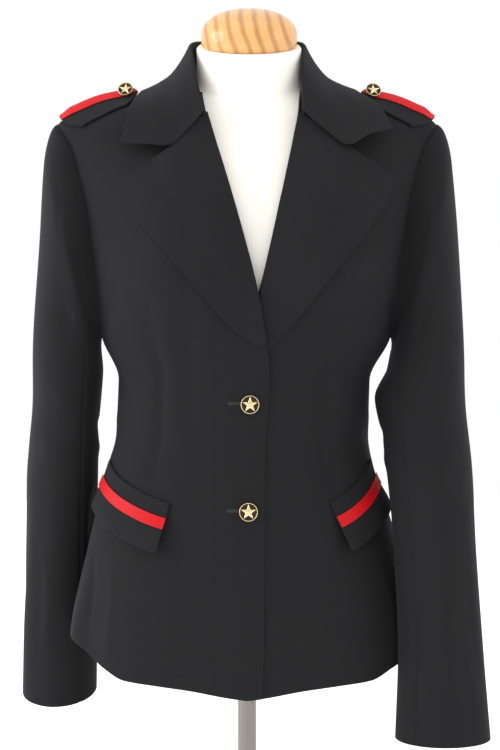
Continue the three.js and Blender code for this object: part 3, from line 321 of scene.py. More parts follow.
def fold_rise(turn, z):
    turn, z = np.broadcast_arrays(np.asarray(turn, float), np.asarray(z, float))
    rise = np.zeros(turn.shape)
    for at, low, high, width, height in FOLDS:
        if low < HEM_Z:
            held = 1 - smooth(high - 110, high, z)
        else:
            held = smooth(low - 10, low + 50, z) * (1 - smooth(high - 60, high, z))
        rise += height * held * bell((turn - at) / width)
    return rise + crease_rise(turn, z)


def cloth_point(turn, z, out=0.0):
    rise = np.asarray(out + fold_rise(turn, z))
    return body_point(turn, z) + body_normal(turn, z) * rise[..., None]


def turn_across(x, z):
    ring = ring_at(z)
    across = x - ring[..., 1]
    sine = np.clip(np.abs(across) / ring[..., 0], 0, 1) ** (ring[..., 4] / 2)
    return np.sign(across) * np.degrees(np.arcsin(sine))


def front_spot(x, height):
    """Turn and ring height of the front's place at a distance across and a height."""
    z = np.array(height, float)
    for _ in range(14):
        turn = turn_across(x, z)
        z = mix(z, height + z - body_point(turn, z)[..., 2], 0.7)
    return turn, z


def nearest_place(point):
    """Turn and height of the place on the body that is nearest to each point."""
    levels = np.r_[np.arange(200, 740, 20), np.arange(740, NECKLINE_Z + 1, 5)]
    turns, zs = (a.ravel() for a in np.meshgrid(np.arange(-180, 180, 6.0), levels))
    cloud = body_point(turns, zs)
    flat = point.reshape(-1, 3)
    best = np.concatenate([np.argmin(((part[:, None] - cloud) ** 2).sum(-1), 1)
                           for part in np.array_split(flat, len(flat) // 2000 + 1)])
    turn, z = turns[best].copy(), zs[best].astype(float)
    step_turn, step_z = 3.0, 8.0
    while step_turn > 0.05:
        tries_turn = turn[:, None] + step_turn * np.array([0, -1, 1, 0, 0, -1, 1, -1, 1])
        tries_z = np.minimum(z[:, None] + step_z * np.array([0, 0, 0, -1, 1, -1, 1, 1, -1]), NECKLINE_Z)
        far = ((body_point(tries_turn, tries_z) - flat[:, None]) ** 2).sum(-1)
        pick = np.argmin(far, 1)
        rows = np.arange(len(flat))
        turn, z = tries_turn[rows, pick], tries_z[rows, pick]
        step_turn, step_z = step_turn / 2, step_z / 2
    return turn.reshape(point.shape[:-1]), z.reshape(point.shape[:-1])


def clear_of_body(point, distance):
    """Points moved out, where need be, to lie at least the given distance off the body."""
    turn, z = nearest_place(point)
    normal = body_normal(turn, z)
    off = ((point - body_point(turn, z)) * normal).sum(-1)
    wanted = distance + np.maximum(0, fold_rise(turn, z))
    return point + normal * np.maximum(0, wanted - off)[..., None]


def lap_lift(x, z):
    """How far the right front is lifted where it laps over the left front and lapel."""
    over_lapel = 3 * bell((z - 559) / 48)
    return (LAP + over_lapel) * smooth(-62, -34, x) * (1 - smooth(610, 690, z))


# ---------------------------------------------------------------- finishes


def colour(code):
    """An sRGB hex code as the linear colour that Blender uses."""
    parts = [int(code[i:i + 2], 16) / 255 for i in (1, 3, 5)]
    return (*[c / 12.92 if c <= 0.04045 else ((c + 0.055) / 1.055) ** 2.4 for c in parts], 1)


def add(tree, kind, sockets=None, **settings):
    """Adds a node with its settings; a socket's value is a number, a colour or another node's output."""
    made = tree.nodes.new(kind)
    for name, value in settings.items():
        setattr(made, name, value)
    for name, value in (sockets or {}).items():
        if isinstance(value, bpy.types.NodeSocket):
            tree.links.new(value, made.inputs[name])
        else:
            made.inputs[name].default_value = value
    return made


def finish(name, sockets):
    """An empty material with its shader, ready for nodes."""
    made = bpy.data.materials.new(name)
    made.use_nodes = True
    tree = made.node_tree
    shader = tree.nodes["Principled BSDF"]
    for socket, value in sockets.items():
        shader.inputs[socket].default_value = value
    return made, tree, shader


def crepe():
    # Polyester crepe suiting: a pebbled, matt weave of hard-twisted threads a little over
    # half a millimetre apart, nearly black, with a pale bloom where it turns away.
    made, tree, shader = finish("charcoal_crepe", {
        "Roughness": 0.88, "Specular IOR Level": 0.12, "Sheen Weight": 0.07, "Sheen Roughness": 0.4,
        "Sheen Tint": colour("#c9ccd6")})
    uv = add(tree, "ShaderNodeUVMap", uv_map="cut").outputs["UV"]
    pebble = add(tree, "ShaderNodeTexNoise", {"Vector": uv, "Scale": 900.0, "Detail": 3.0,
                                              "Roughness": 0.65})
    threads = add(tree, "ShaderNodeTexVoronoi", {"Vector": uv, "Scale": 1500.0})
    cloudy = add(tree, "ShaderNodeTexNoise", {"Vector": uv, "Scale": 14.0, "Detail": 3.0})
    grain = add(tree, "ShaderNodeMapRange", {"Value": pebble.outputs["Fac"], "From Min": 0.3,
                                             "From Max": 0.7})
    tone = add(tree, "ShaderNodeMix", {"Factor": grain.outputs["Result"], "A": colour("#141416"),
                                       "B": colour("#28282a")}, data_type="RGBA")
    patchy = add(tree, "ShaderNodeMix", {"Factor": cloudy.outputs["Fac"], "A": tone.outputs["Result"],
                                         "B": colour("#202021")}, data_type="RGBA")
    tree.links.new(patchy.outputs["Result"], shader.inputs["Base Color"])
    height = add(tree, "ShaderNodeMath", {0: pebble.outputs["Fac"], 1: threads.outputs["Distance"]},
                 operation="ADD")
    bump = add(tree, "ShaderNodeBump", {"Height": height.outputs["Value"], "Strength": 0.35,
                                        "Distance": 0.0004})
    tree.links.new(bump.outputs["Normal"], shader.inputs["Normal"])
    return made


def thread():
    # Spun polyester sewing thread, charcoal, with a faint sheen along its twist.
    made, tree, shader = finish("charcoal_thread", {"Roughness": 0.6, "Specular IOR Level": 0.3})
    place = add(tree, "ShaderNodeTexCoord").outputs["Object"]
    twist = add(tree, "ShaderNodeTexNoise", {"Vector": place, "Scale": 2500.0, "Detail": 2.0})
    tone = add(tree, "ShaderNodeMix", {"Factor": twist.outputs["Fac"], "A": colour("#29292c"),
                                       "B": colour("#454549")}, data_type="RGBA")
    tree.links.new(tone.outputs["Result"], shader.inputs["Base Color"])
    return made


def satin():
    # Polyester satin ribbon: bright red with a soft shine and fine cross ribs
    # a little over a millimetre apart.
    made, tree, shader = finish("red_satin", {
        "Roughness": 0.5, "Specular IOR Level": 0.18, "Sheen Weight": 0.04, "Sheen Roughness": 0.4})
    uv = add(tree, "ShaderNodeUVMap", uv_map="cut")
    ribs = add(tree, "ShaderNodeTexWave", {"Vector": uv.outputs["UV"], "Scale": 260.0, "Distortion": 0.6})
    tone = add(tree, "ShaderNodeMix", {"Factor": ribs.outputs["Fac"], "A": colour("#b30811"),
                                       "B": colour("#d2111c")}, data_type="RGBA")
    tree.links.new(tone.outputs["Result"], shader.inputs["Base Color"])
    bump = add(tree, "ShaderNodeBump", {"Height": ribs.outputs["Fac"], "Strength": 0.2, "Distance": 0.0002})
    tree.links.new(bump.outputs["Normal"], shader.inputs["Normal"])
    return made


def jersey():
    # Cotton rib jersey stretched over the form: soft matt cream with fine upright ribs
    # about a millimetre apart on the neck, where they show.
    made, tree, shader = finish("cream_jersey", {
        "Roughness": 0.9, "Specular IOR Level": 0.2, "Sheen Weight": 0.2, "Sheen Roughness": 0.5})
    uv = add(tree, "ShaderNodeUVMap", uv_map="cut")
    ribs = add(tree, "ShaderNodeTexWave", {"Vector": uv.outputs["UV"], "Scale": 170.0, "Distortion": 0.6,
                                           "Detail": 2.0, "Detail Scale": 3.0})
    cloudy = add(tree, "ShaderNodeTexNoise", {"Vector": uv.outputs["UV"], "Scale": 20.0, "Detail": 3.0})
    tone = add(tree, "ShaderNodeMix", {"Factor": ribs.outputs["Fac"], "A": colour("#f1ece3"),
                                       "B": colour("#f9f6ef")}, data_type="RGBA")
    patchy = add(tree, "ShaderNodeMix", {"Factor": cloudy.outputs["Fac"], "A": tone.outputs["Result"],
                                         "B": colour("#f2eee6")}, data_type="RGBA")
    tree.links.new(patchy.outputs["Result"], shader.inputs["Base Color"])
    bump = add(tree, "ShaderNodeBump", {"Height": ribs.outputs["Fac"], "Strength": 0.2, "Distance": 0.0003})
    tree.links.new(bump.outputs["Normal"], shader.inputs["Normal"])
    return made


def pine():
    # Turned pine under clear gloss varnish: warm yellow wood with curved darker grain.
    made, tree, shader = finish("varnished_pine", {
        "Roughness": 0.38, "Coat Weight": 0.5, "Coat Roughness": 0.06})
    place = add(tree, "ShaderNodeTexCoord").outputs["Object"]
    turned_grain = add(tree, "ShaderNodeMapping", {
        "Vector": place, "Location": (0.055, 0.09, -0.9), "Rotation": (0.25, 0.35, 0.1),
        "Scale": (1, 0.6, 0.8)})
    rings = add(tree, "ShaderNodeTexWave", {
        "Vector": turned_grain.outputs["Vector"], "Scale": 26.0, "Distortion": 2.4, "Detail": 2.0,
        "Detail Scale": 0.8}, wave_type="RINGS", rings_direction="Z")
    fibre = add(tree, "ShaderNodeTexNoise", {"Vector": turned_grain.outputs["Vector"], "Scale": 220.0,
                                             "Detail": 4.0, "Distortion": 1.0})
    edge = add(tree, "ShaderNodeMapRange", {"Value": rings.outputs["Fac"], "From Min": 0.45, "From Max": 1.0})
    tone = add(tree, "ShaderNodeMix", {"Factor": edge.outputs["Result"], "A": colour("#e3ad68"),
                                       "B": colour("#c08443")}, data_type="RGBA")
    fine = add(tree, "ShaderNodeMapRange", {"Value": fibre.outputs["Fac"], "To Min": 0.85, "To Max": 1.1})
    shade = add(tree, "ShaderNodeMix", {"Factor": 1.0, "A": tone.outputs["Result"],
                                        "B": fine.outputs["Result"]}, data_type="RGBA", blend_type="MULTIPLY")
    tree.links.new(shade.outputs["Result"], shader.inputs["Base Color"])
    return made


def steel():
    # Polished chromed steel with faint upright polishing marks.
    made, tree, shader = finish("polished_steel", {"Metallic": 1.0})
    place = add(tree, "ShaderNodeTexCoord").outputs["Object"]
    drawn = add(tree, "ShaderNodeMapping", {"Vector": place, "Scale": (1, 1, 0.02)})
    marks = add(tree, "ShaderNodeTexNoise", {"Vector": drawn.outputs["Vector"], "Scale": 900.0,
                                             "Detail": 2.0})
    tone = add(tree, "ShaderNodeMix", {"Factor": marks.outputs["Fac"], "A": colour("#6f6b66"),
                                       "B": colour("#908c86")}, data_type="RGBA")
    rough = add(tree, "ShaderNodeMapRange", {"Value": marks.outputs["Fac"], "To Min": 0.12, "To Max": 0.26})
    tree.links.new(tone.outputs["Result"], shader.inputs["Base Color"])
    tree.links.new(rough.outputs["Result"], shader.inputs["Roughness"])
    return made


def gilt():
    # Pale gold plating, polished on the rim and star, a little uneven from wear.
    made, tree, shader = finish("pale_gilt", {"Metallic": 1.0})
    place = add(tree, "ShaderNodeTexCoord").outputs["Object"]
    worn = add(tree, "ShaderNodeTexNoise", {"Vector": place, "Scale": 500.0, "Detail": 3.0})
    tone = add(tree, "ShaderNodeMix", {"Factor": worn.outputs["Fac"], "A": colour("#d8bd86"),
                                       "B": colour("#efdfba")}, data_type="RGBA")
    rough = add(tree, "ShaderNodeMapRange", {"Value": worn.outputs["Fac"], "To Min": 0.18, "To Max": 0.36})
    tree.links.new(tone.outputs["Result"], shader.inputs["Base Color"])
    tree.links.new(rough.outputs["Result"], shader.inputs["Roughness"])
    return made


def field_shade():
    # Painted shade in the sunk field of the buttons: a brown-black, half matt metal.
    made, tree, shader = finish("painted_field_shade", {"Metallic": 0.6, "Roughness": 0.5})
    place = add(tree, "ShaderNodeTexCoord").outputs["Object"]
    spots = add(tree, "ShaderNodeTexNoise", {"Vector": place, "Scale": 900.0, "Detail": 2.0})
    tone = add(tree, "ShaderNodeMix", {"Factor": spots.outputs["Fac"], "A": colour("#1b130d"),
                                       "B": colour("#3a2a1d")}, data_type="RGBA")
    tree.links.new(tone.outputs["Result"], shader.inputs["Base Color"])
    return made


CREPE, SATIN, JERSEY, PINE = crepe(), satin(), jersey(), pine()
STEEL, GILT, FIELD_SHADE, THREAD = steel(), gilt(), field_shade(), thread()

# ---------------------------------------------------------------- meshes


def spaced(count, borders=(True, True), length=250.0):
    """Fractions from 0 to 1, with a few close ones at the chosen borders, where edges round over."""
    near = np.array([0.6, 1.4, 2.6]) / length
    inner = np.linspace(0, 1, count + 1)
    extra = [near] * borders[0] + [1 - near] * borders[1]
    return np.unique(np.round(np.concatenate([inner, *extra]), 6))


def grid(s_values, t_values):
    return np.meshgrid(s_values, t_values, indexing="ij")


def mesh_piece(name, points, faces, material, uvs=None):
    """A mesh object from points in millimetres, at the origin, with smooth faces."""
    mesh = bpy.data.meshes.new(name)
    mesh.from_pydata((np.asarray(points) * MM).tolist(), [], faces)
    mesh.polygons.foreach_set("use_smooth", [True] * len(mesh.polygons))
    mesh.materials.append(material)
    if uvs is not None:
        layer = mesh.uv_layers.new(name="cut")
        loops = np.empty(len(mesh.loops), int)
        mesh.loops.foreach_get("vertex_index", loops)
        layer.data.foreach_set("uv", (np.asarray(uvs)[loops] * MM).ravel())
    mesh.update()
    made = bpy.data.objects.new(name, mesh)
    bpy.context.scene.collection.objects.link(made)
    return made


def cut_shape(face):
    """Each grid point's place on the flat cut: across from the middle column, and up along it."""
    across = np.linalg.norm(np.diff(face, axis=1), axis=2)
    across = np.concatenate([np.zeros((len(face), 1)), np.cumsum(across, axis=1)], 1)
    middle = face.shape[1] // 2
    across -= across[:, middle:middle + 1]
    up = np.r_[0, np.cumsum(np.linalg.norm(np.diff(face[:, middle], axis=0), axis=1))]
    return np.stack([across, np.broadcast_to(up[:, None], across.shape)], -1)


def sewn_in(face, ways, seams, depth=0.8, width=1.5):
    """Sinks the borders that are sewn: seams names any of start, end, low and high."""
    def reach(axis):
        step = np.linalg.norm(np.diff(face, axis=axis), axis=2)
        pad = np.zeros_like(np.take(step, [0], axis))
        return np.concatenate([pad, np.cumsum(step, axis)], axis)
    down, over = reach(0), reach(1)
    border = {"start": down, "end": down[-1:] - down, "low": over, "high": over[:, -1:] - over}
    sink = sum((depth * bell(border[name] / width) for name in seams), np.zeros(face.shape[:2]))
    return face - ways * np.minimum(sink, depth)[..., None]


def wall(name, face, ways, thickness, material, seams=()):
    """A closed cloth wall on a grid of points, with rounded edges and its borders sewn in."""
    face = sewn_in(face, ways, seams)
    back = face - ways * thickness
    rows, columns = face.shape[:2]
    index = np.arange(rows * columns).reshape(rows, columns)
    rim = np.r_[index[0], index[1:, -1], index[-1, -2::-1], index[-2:0:-1, 0]]
    inner_row = np.clip(np.arange(rows), 1, rows - 2)
    inner_column = np.clip(np.arange(columns), 1, columns - 2)
    inner = index[inner_row][:, inner_column].ravel()[rim]
    flat, deep, way = face.reshape(-1, 3), back.reshape(-1, 3), ways.reshape(-1, 3)[rim]
    outwards = flat[rim] - flat[inner]
    outwards = unit(outwards - way * (outwards * way).sum(1, keepdims=True))
    bands = [flat[rim] + thickness * (out * outwards - down * way)
             for out, down in ((0.26, 0.16), (0.38, 0.5), (0.26, 0.84))]
    points = np.vstack([flat, deep, *bands])
    layer, ring = len(flat), len(rim)
    a, b, c, d = index[:-1, :-1], index[:-1, 1:], index[1:, 1:], index[1:, :-1]
    front = np.stack([a, b, c, d], -1).reshape(-1, 4)
    following = np.roll(np.arange(ring), -1)
    loops = [rim, *(2 * layer + k * ring + np.arange(ring) for k in range(3)), rim + layer]
    sides = [np.stack([low, high, high[following], low[following]], -1)
             for low, high in zip(loops, loops[1:])]
    faces = np.vstack([front, front[:, ::-1] + layer, *sides])
    normal = np.cross(face[1, 1] - face[0, 1], face[1, 1] - face[1, 0])
    if (normal * ways[1, 1]).sum() > 0:
        faces = faces[:, ::-1]
    cut = cut_shape(face).reshape(-1, 2)
    uvs = np.vstack([cut, cut, cut[rim], cut[rim], cut[rim]])
    return mesh_piece(name, points, faces.tolist(), material, uvs)


def laid(name, s_values, t_values, thickness, spot_at, out_at, material, seams=()):
    """A wall that lies on the body, moved out along the body's own normals, so that layers never cross."""
    s, t = grid(s_values, t_values)
    turn, z = spot_at(s, t)
    ways = body_normal(turn, z)
    rise = out_at(s, t, turn, z) + fold_rise(turn, z)
    face = body_point(turn, z) + ways * rise[..., None]
    return wall(name, face, ways, thickness, material, seams)


def grid_ways(face, middle):
    """The way out at each grid point, away from the middle line."""
    across = np.gradient(face, axis=1)
    up = np.gradient(face, axis=0)
    ways = unit(np.cross(across, up))
    return ways if ((face - middle) * ways).sum(-1).mean() > 0 else -ways


def closed_rings(name, rows, ends, material, uvs=None):
    """A closed body from rings of points, each end closed by a fan to its own middle point."""
    count, sides = rows.shape[:2]
    points = np.vstack([rows.reshape(-1, 3), *ends])
    faces = []
    for i in range(count - 1):
        for k in range(sides):
            a, b = i * sides + k, i * sides + (k + 1) % sides
            faces.append([a, b, b + sides, a + sides])
    last = (count - 1) * sides
    for k in range(sides):
        faces.append([len(points) - 2, (k + 1) % sides, k])
        faces.append([len(points) - 1, last + k, last + (k + 1) % sides])
    return mesh_piece(name, points, faces, material, uvs)


def placed(points, place):
    return np.asarray(points) @ np.array(place.to_3x3()).T + np.array(place.translation)


def turned(name, outline, sides, material, place=Matrix()):
    """A closed body of revolution about +Z from [radius, height] pairs that start and end on the axis."""
    outline = np.array(outline, float)
    angles = np.arange(sides) * 2 * math.pi / sides
    rings = outline[1:-1]
    rows = np.stack([rings[:, :1] * np.cos(angles), rings[:, :1] * np.sin(angles),
                     np.repeat(rings[:, 1:], sides, 1)], -1)
    ends = [placed([0, 0, outline[end, 1]], place) for end in (0, -1)]
    return closed_rings(name, placed(rows, place), ends, material)


# ---------------------------------------------------------------- fronts and backs

LEVELS = np.r_[np.linspace(HEM_Z, ARMPIT_Z, 11), np.linspace(ARMPIT_Z, 715, 6)[1:],
               np.linspace(715, SHOULDER_TIP_Z, 6)[1:]]


def body_levels(per_step):
    """Ring heights from hem to neckline, spaced by length in the shoulder."""
    low = np.interp(np.linspace(0, 1, 21 * per_step), np.linspace(0, 1, 21), LEVELS)
    dense = np.linspace(SHOULDER_TIP_Z, NECKLINE_Z, 400)
    half = ring_at(dense)[:, 0]
    along = np.r_[0, np.cumsum(np.hypot(np.diff(half), np.diff(dense)))]
    high = np.interp(np.linspace(0, along[-1], 8 * per_step), along, dense)
    near = np.array([0.6, 1.4, 2.6])
    return np.unique(np.round(np.r_[low, high, HEM_Z + near, NECKLINE_Z - near / 4], 3))


def to_hem(z, hem):
    share = np.clip((WAIST_Z - z) / (WAIST_Z - HEM_Z), 0, 1)
    return z - (HEM_Z - hem) * share * share


def outer_turn(z):
    """How far round a panel reaches: to the side seam, and less far along the armhole."""
    ring = ring_at(z)
    reach = np.degrees(np.arcsin(np.clip(armhole_reach(z)[..., 0], 0, 1) ** (ring[..., 4] / 2)))
    return np.where((z > ARMPIT_Z) & (z < SHOULDER_TIP_Z), reach, 90.0)


def seam_turn(z):
    return np.degrees(SEAM_GAP / 2 / ring_at(z)[..., 0])


def body_panel(name, turns_at, hem_curve, out_at, seams):
    levels = body_levels(6)
    share = (levels - levels[0]) / (levels[-1] - levels[0])

    def spot_at(s, t):
        level = np.interp(s, share, levels)
        start, end = turns_at(level)
        turn = mix(start, end, t)
        hem = hem_curve(np.abs(body_point(turn, level)[..., 0]))[..., 0]
        return turn, np.where(level < WAIST_Z, to_hem(level, hem), level)
    return laid(name, share, spaced(72), CLOTH, spot_at, out_at, CREPE, seams)


def front_panel(name, side, edge_rows, lift):
    edge = table_curve(edge_rows)

    def turns_at(level):
        start = turn_across(edge(level)[..., 0], level)
        return start, side * (outer_turn(level) - 2 * seam_turn(level))
    return body_panel(name, turns_at, hem_front, lambda s, t, turn, z: lift(body_point(turn, z)[..., 0], z),
                      ("high", "end"))


def back_panel(name, side):
    def turns_at(level):
        return (side * (180 - seam_turn(level)),
                side * (180 - outer_turn(level) + 2 * seam_turn(level)))
    return body_panel(name, turns_at, hem_back, lambda s, t, turn, z: 0 * z, ("low", "high", "end"))


# ---------------------------------------------------------------- sleeves


def armhole_place(side, around):
    """A point of the armhole's edge at degrees round from its top, and the way out of the cloth there."""
    to_front = ((around + 540) % 360) - 180 < 0
    z = mix(ARMPIT_Z, SHOULDER_TIP_Z, 0.5 + 0.5 * np.cos(np.radians(around)))
    z = np.clip(z, ARMPIT_Z + 0.01, SHOULDER_TIP_Z - 0.01)
    reach = outer_turn(z)
    turn = side * np.where(to_front, reach, 180 - reach)
    return body_point(turn, z), body_normal(turn, z)


def sleeve_point(side, ring, around, down):
    out_x, out_z, in_x, in_z, set_back, depth = np.moveaxis(ring(down), -1, 0)
    sine, cosine = np.sin(np.radians(around)), np.cos(np.radians(around))
    share = 0.5 - 0.5 * cosine
    point = np.stack([side * mix(out_x, in_x, share), set_back + depth * sine, mix(out_z, in_z, share)], -1)
    away = np.stack([side * cosine, sine, 0 * sine], -1)
    for at, low, length, width, rise in SLEEVE_FOLDS:
        apart = ((around - at + 540) % 360) - 180
        point = point + away * (rise * bell((down - low) / length) * bell(apart / width))[..., None]
    point = point + away * sleeve_crease(side, around, down)[..., None]
    point[..., 2] -= CUFF_DIP[side] * smooth(0.9, 1, down) * np.maximum(0, -sine)
    start, _ = armhole_place(side, around)
    start = start + np.stack([side * ARMHOLE_GAP + 0 * cosine, 0 * cosine, ARMHOLE_GAP * cosine], -1)
    free = mix(start, point, (smooth(0, 0.12, down) ** 0.6)[..., None])
    cleared = clear_of_body(free, mix(SLEEVE_OFF_BODY, SLEEVE_OFF_POCKET, bell((free[..., 2] - 395) / 55)))
    hanging = ((down > 0.2) & (free[..., 2] > HEM_CLEAR_Z))[..., None]
    return np.where(hanging, cleared, free)


def sleeve_wall(name, side, rows, start, end, columns):
    """One piece of a two-piece sleeve, from one seam round to the other."""
    ring = table_curve(rows)
    t_values = spaced(columns, length=(end - start) * 0.95)
    t_values = np.r_[-t_values[1], t_values, 1 + t_values[1]]
    s_values = spaced(150, length=600.0) ** 1.25
    down, around = grid(s_values, start + (end - start) * t_values)
    face = sleeve_point(side, ring, around, down)
    middle = ring(s_values)
    middle = np.stack([side * (middle[:, 0] + middle[:, 2]) / 2, middle[:, 4], face[:, 0, 2]], -1)[:, None]
    ways = grid_ways(face, middle)[:, 1:-1]
    ways[0] = armhole_place(side, around[0, 1:-1])[1]
    return wall(name, face[:, 1:-1], ways, CLOTH, CREPE, ("low", "high", "start"))


def sleeve(name, side, rows):
    gap = 0.2  # degrees, half of the seam gap
    return [
        sleeve_wall(f"sleeve_top_{name}", side, rows, gap - SLEEVE_SEAM_FRONT, SLEEVE_SEAM_BACK - gap, 84),
        sleeve_wall(f"sleeve_under_{name}", side, rows,
                    SLEEVE_SEAM_BACK + gap, 360 - SLEEVE_SEAM_FRONT - gap, 46),
    ]


# ---------------------------------------------------------------- lapels and collar


def flat_line(rows):
    return line_through([(x, 0, z) for x, z in rows])


def lapel(name, lines, under, edge_rise):
    """A lapel on its front, with a belly along the roll and a free outer edge."""
    base = np.array([lines["roll"][0][0], 0, lines["roll"][0][1]], float)
    tip = np.array([lines["outer"][0][0], 0, lines["outer"][0][1]], float)
    shape = patch(lambda t: mix(base, tip, np.asarray(t)[..., None]), flat_line(lines["top"]),
                  flat_line(lines["roll"]), flat_line(lines["outer"]))

    def spot_at(s, t):
        flat = shape(s, t)
        turn, z = front_spot(flat[..., 0], flat[..., 2])
        shown = flat - body_normal(turn, z) * out_at(s, t, turn, z)[..., None]
        return front_spot(shown[..., 0], shown[..., 2])

    def out_at(s, t, turn, z):
        belly = 2.2 * np.sin(np.pi * np.minimum(1, t * 1.6)) * smooth(0.14, 0.45, s)
        rise = edge_rise * t * t * smooth(0.1, 0.6, s)
        level = 3.6 * smooth(0.8, 1, s) * (1 - smooth(0.5, 0.7, t))  # with the collar, at the gorge seam
        return under(body_point(turn, z)[..., 0], z) + 2 * LAY + CLOTH + belly + rise + level
    return laid(name, spaced(90, length=260.0), spaced(56, length=110.0), CLOTH, spot_at, out_at, CREPE)


def collar_lines(side, lines):
    roll, edge = (line_through([(side * out, y, z) for _, out, y, z in lines[name]])
                  for name in ("roll", "edge"))
    end_flat = flat_line([(side * out, z) for out, z in lines["end"]])

    def end(t):
        flat = end_flat(t)
        turn, z = front_spot(flat[..., 0], flat[..., 2])
        return cloth_point(turn, z, CLOTH + 2 * LAY + 1 + 3 * smooth(0.45, 0.7, np.asarray(t)))

    def nape(t):
        point = mix(roll(0.0), edge(0.0), np.asarray(t)[..., None])
        return point + np.array([0, 3, 0]) * np.sin(np.pi * np.asarray(t))[..., None]
    return roll, edge, end, nape


def fall_face(side, lines, s, t):
    roll, edge, end, nape = collar_lines(side, lines)
    point = patch(nape, end, roll, edge, COLLAR_REACH)(s, t)
    point[..., 2] -= COLLAR_SAG * np.sin(np.pi * t ** 0.75) * bell((s - 0.55) / 0.28)
    return clear_of_body(point, CLOTH + 3 * LAY)


def collar():
    """The collar as one sheet: its stand rises from the neckline, turns over at the roll and falls."""
    s_values, fall_t = spaced(70, (False, True), 260.0), spaced(40, (False, True), 75.0)
    halves = []
    for side, lines in ((-1, RIGHT_COLLAR), (1, LEFT_COLLAR)):
        s, t = grid(s_values, fall_t)
        fall = fall_face(side, lines, s, t)
        top = fall[:, 0]
        turn = np.degrees(np.arctan2(top[:, 0] - NECK_X, -top[:, 1]))
        foot = body_point(turn, NECKLINE_Z + 0 * turn)
        foot[:, :2] -= unit(foot[:, :2] - [NECK_X, 0]) * 1.5
        inwards = -unit(np.stack([top[:, 0] - NECK_X, top[:, 1], 0 * turn], -1))
        narrow = (1 - smooth(0.62, 0.97, s_values))[:, None]
        turned_in = top + inwards * 3.4 * (0.25 + 0.75 * narrow) - [0, 0, 3]
        foot = mix(turned_in - [0, 0, 3], foot, narrow)
        lifted = top + inwards * 1.6 + [0, 0, 0.6]
        stand = [mix(foot, turned_in, share) for share in np.linspace(0, 1, 9)]
        halves.append(np.concatenate([np.stack(stand + [lifted], 1), fall], 1))
    face = np.concatenate([halves[0][::-1], halves[1][1:]])
    soft = face.copy()
    for _ in range(3):
        soft[:, 8:12] = (soft[:, 7:11] + 2 * soft[:, 8:12] + soft[:, 9:13]) / 4
    middle = face.mean(1, keepdims=True) * [0, 0, 1] + [NECK_X, 0, -60]
    ways = grid_ways(soft, middle)
    return soft, ways


# ---------------------------------------------------------------- dress form and stand


def form_point(turn, z):
    """The limbless form under the jacket, cut off and rounded at the armholes."""
    seat = smooth(ARMPIT_Z + 120, SHOULDER_TIP_Z, z)
    bare = body_point(turn, z)
    inset = CLOTH + mix(FORM_CLEARANCE, FORM_SEAT, seat * bell(bare[..., 1] / SEAT_WIDTH))
    point = bare - body_normal(turn, z) * inset[..., None]
    wide = np.abs(point[..., 0])
    reach = wide - (ARM_PLATE_X - ARM_PLATE_SOFT)
    cut = ARM_PLATE_X - ARM_PLATE_SOFT * np.exp(-np.maximum(reach, 0) / ARM_PLATE_SOFT)
    narrow = mix(wide, cut, smooth(ARMPIT_Z - 60, ARMPIT_Z, z))
    point[..., 0] = np.where(reach > 0, np.sign(point[..., 0]) * narrow, point[..., 0])
    return point


def dress_form():
    turns = np.arange(-180, 180, 1.5)
    levels = body_levels(5)
    levels = levels[(levels > FORM_BOTTOM_Z + 6) & (levels < NECKLINE_Z - 7)]
    turn, z = np.meshgrid(turns, levels)
    rows = form_point(turn, z)
    bottom = rows[:1].copy()
    bottom[..., 2] = FORM_BOTTOM_Z
    hem = bottom * [0.985, 0.985, 1]
    neck = []
    for height, radius in ((813, NECK_RADIUS + 0.6), (820, NECK_RADIUS + 0.2), (828, NECK_RADIUS),
                           (840, NECK_RADIUS), (NECK_TOP_Z - 2, NECK_RADIUS),
                           (NECK_TOP_Z, NECK_RADIUS - 1.5)):
        y = -radius * np.cos(np.radians(turns))
        neck.append(np.stack([NECK_X + radius * np.sin(np.radians(turns)), y, height + NECK_SLOPE * y], -1))
    rows = np.concatenate([hem, bottom + [0, 0, 2.5], rows, np.array(neck)])
    rib = np.broadcast_to(turns * 1.9, rows.shape[:2])
    uvs = np.vstack([np.stack([rib, rows[..., 2]], -1).reshape(-1, 2), np.zeros((2, 2))])
    return closed_rings("form_cover", rows, [rows[0].mean(0), rows[-1].mean(0)], JERSEY, uvs)


def stand():
    radius, height, edge = BASE_RADIUS, BASE_HEIGHT, BASE_EDGE
    curve = [(radius - edge + edge * math.cos(a), height - edge + edge * math.sin(a))
             for a in np.linspace(0, math.pi / 2, 7)]
    foot = turned("stand_foot", [(0, 0), (radius - 1.2, 0), (radius, 1.2), *curve, (radius * 0.5, height),
                                 (16, height), (0, height)], 128, STEEL)
    socket = turned("stand_collar", [
        (0, height - 0.5), (21, height - 0.5), (21, height + 1.5), (19.5, height + 3), (14, height + 4.5),
        (12.6, height + 7), (12.2, height + 17), (11.4, height + 18), (0, height + 18)], 64, STEEL)
    pole = turned("stand_pole_tube", [
        (0, height - 0.5), (POLE_RADIUS, height - 0.5), (POLE_RADIUS, 120), (POLE_RADIUS, 210),
        (POLE_RADIUS, FORM_BOTTOM_Z - 0.3), (0, FORM_BOTTOM_Z - 0.3)], 64, STEEL)
    return foot, socket, pole


def neck_cap():
    """A turned wooden cap with a rounded top, on the sloping neck."""
    outline = [(0, 0), (CAP_RADIUS - CAP_EDGE, 0), (CAP_RADIUS - 0.5, 0.45), (CAP_RADIUS, CAP_EDGE)]
    low = CAP_HEIGHT * 0.3
    for angle in np.linspace(0, math.pi / 2, 40)[:-1]:
        outline.append((CAP_RADIUS * math.cos(angle) ** 0.85, low + (CAP_HEIGHT - low) * math.sin(angle)))
    lean = Matrix.Rotation(math.atan(NECK_SLOPE), 4, "X")
    place = Matrix.Translation((NECK_X, 0, NECK_TOP_Z + SEAM_GAP)) @ lean
    return turned("neck_cap_turned", [*outline, (0, CAP_HEIGHT)], 128, PINE, place)


# ---------------------------------------------------------------- pockets


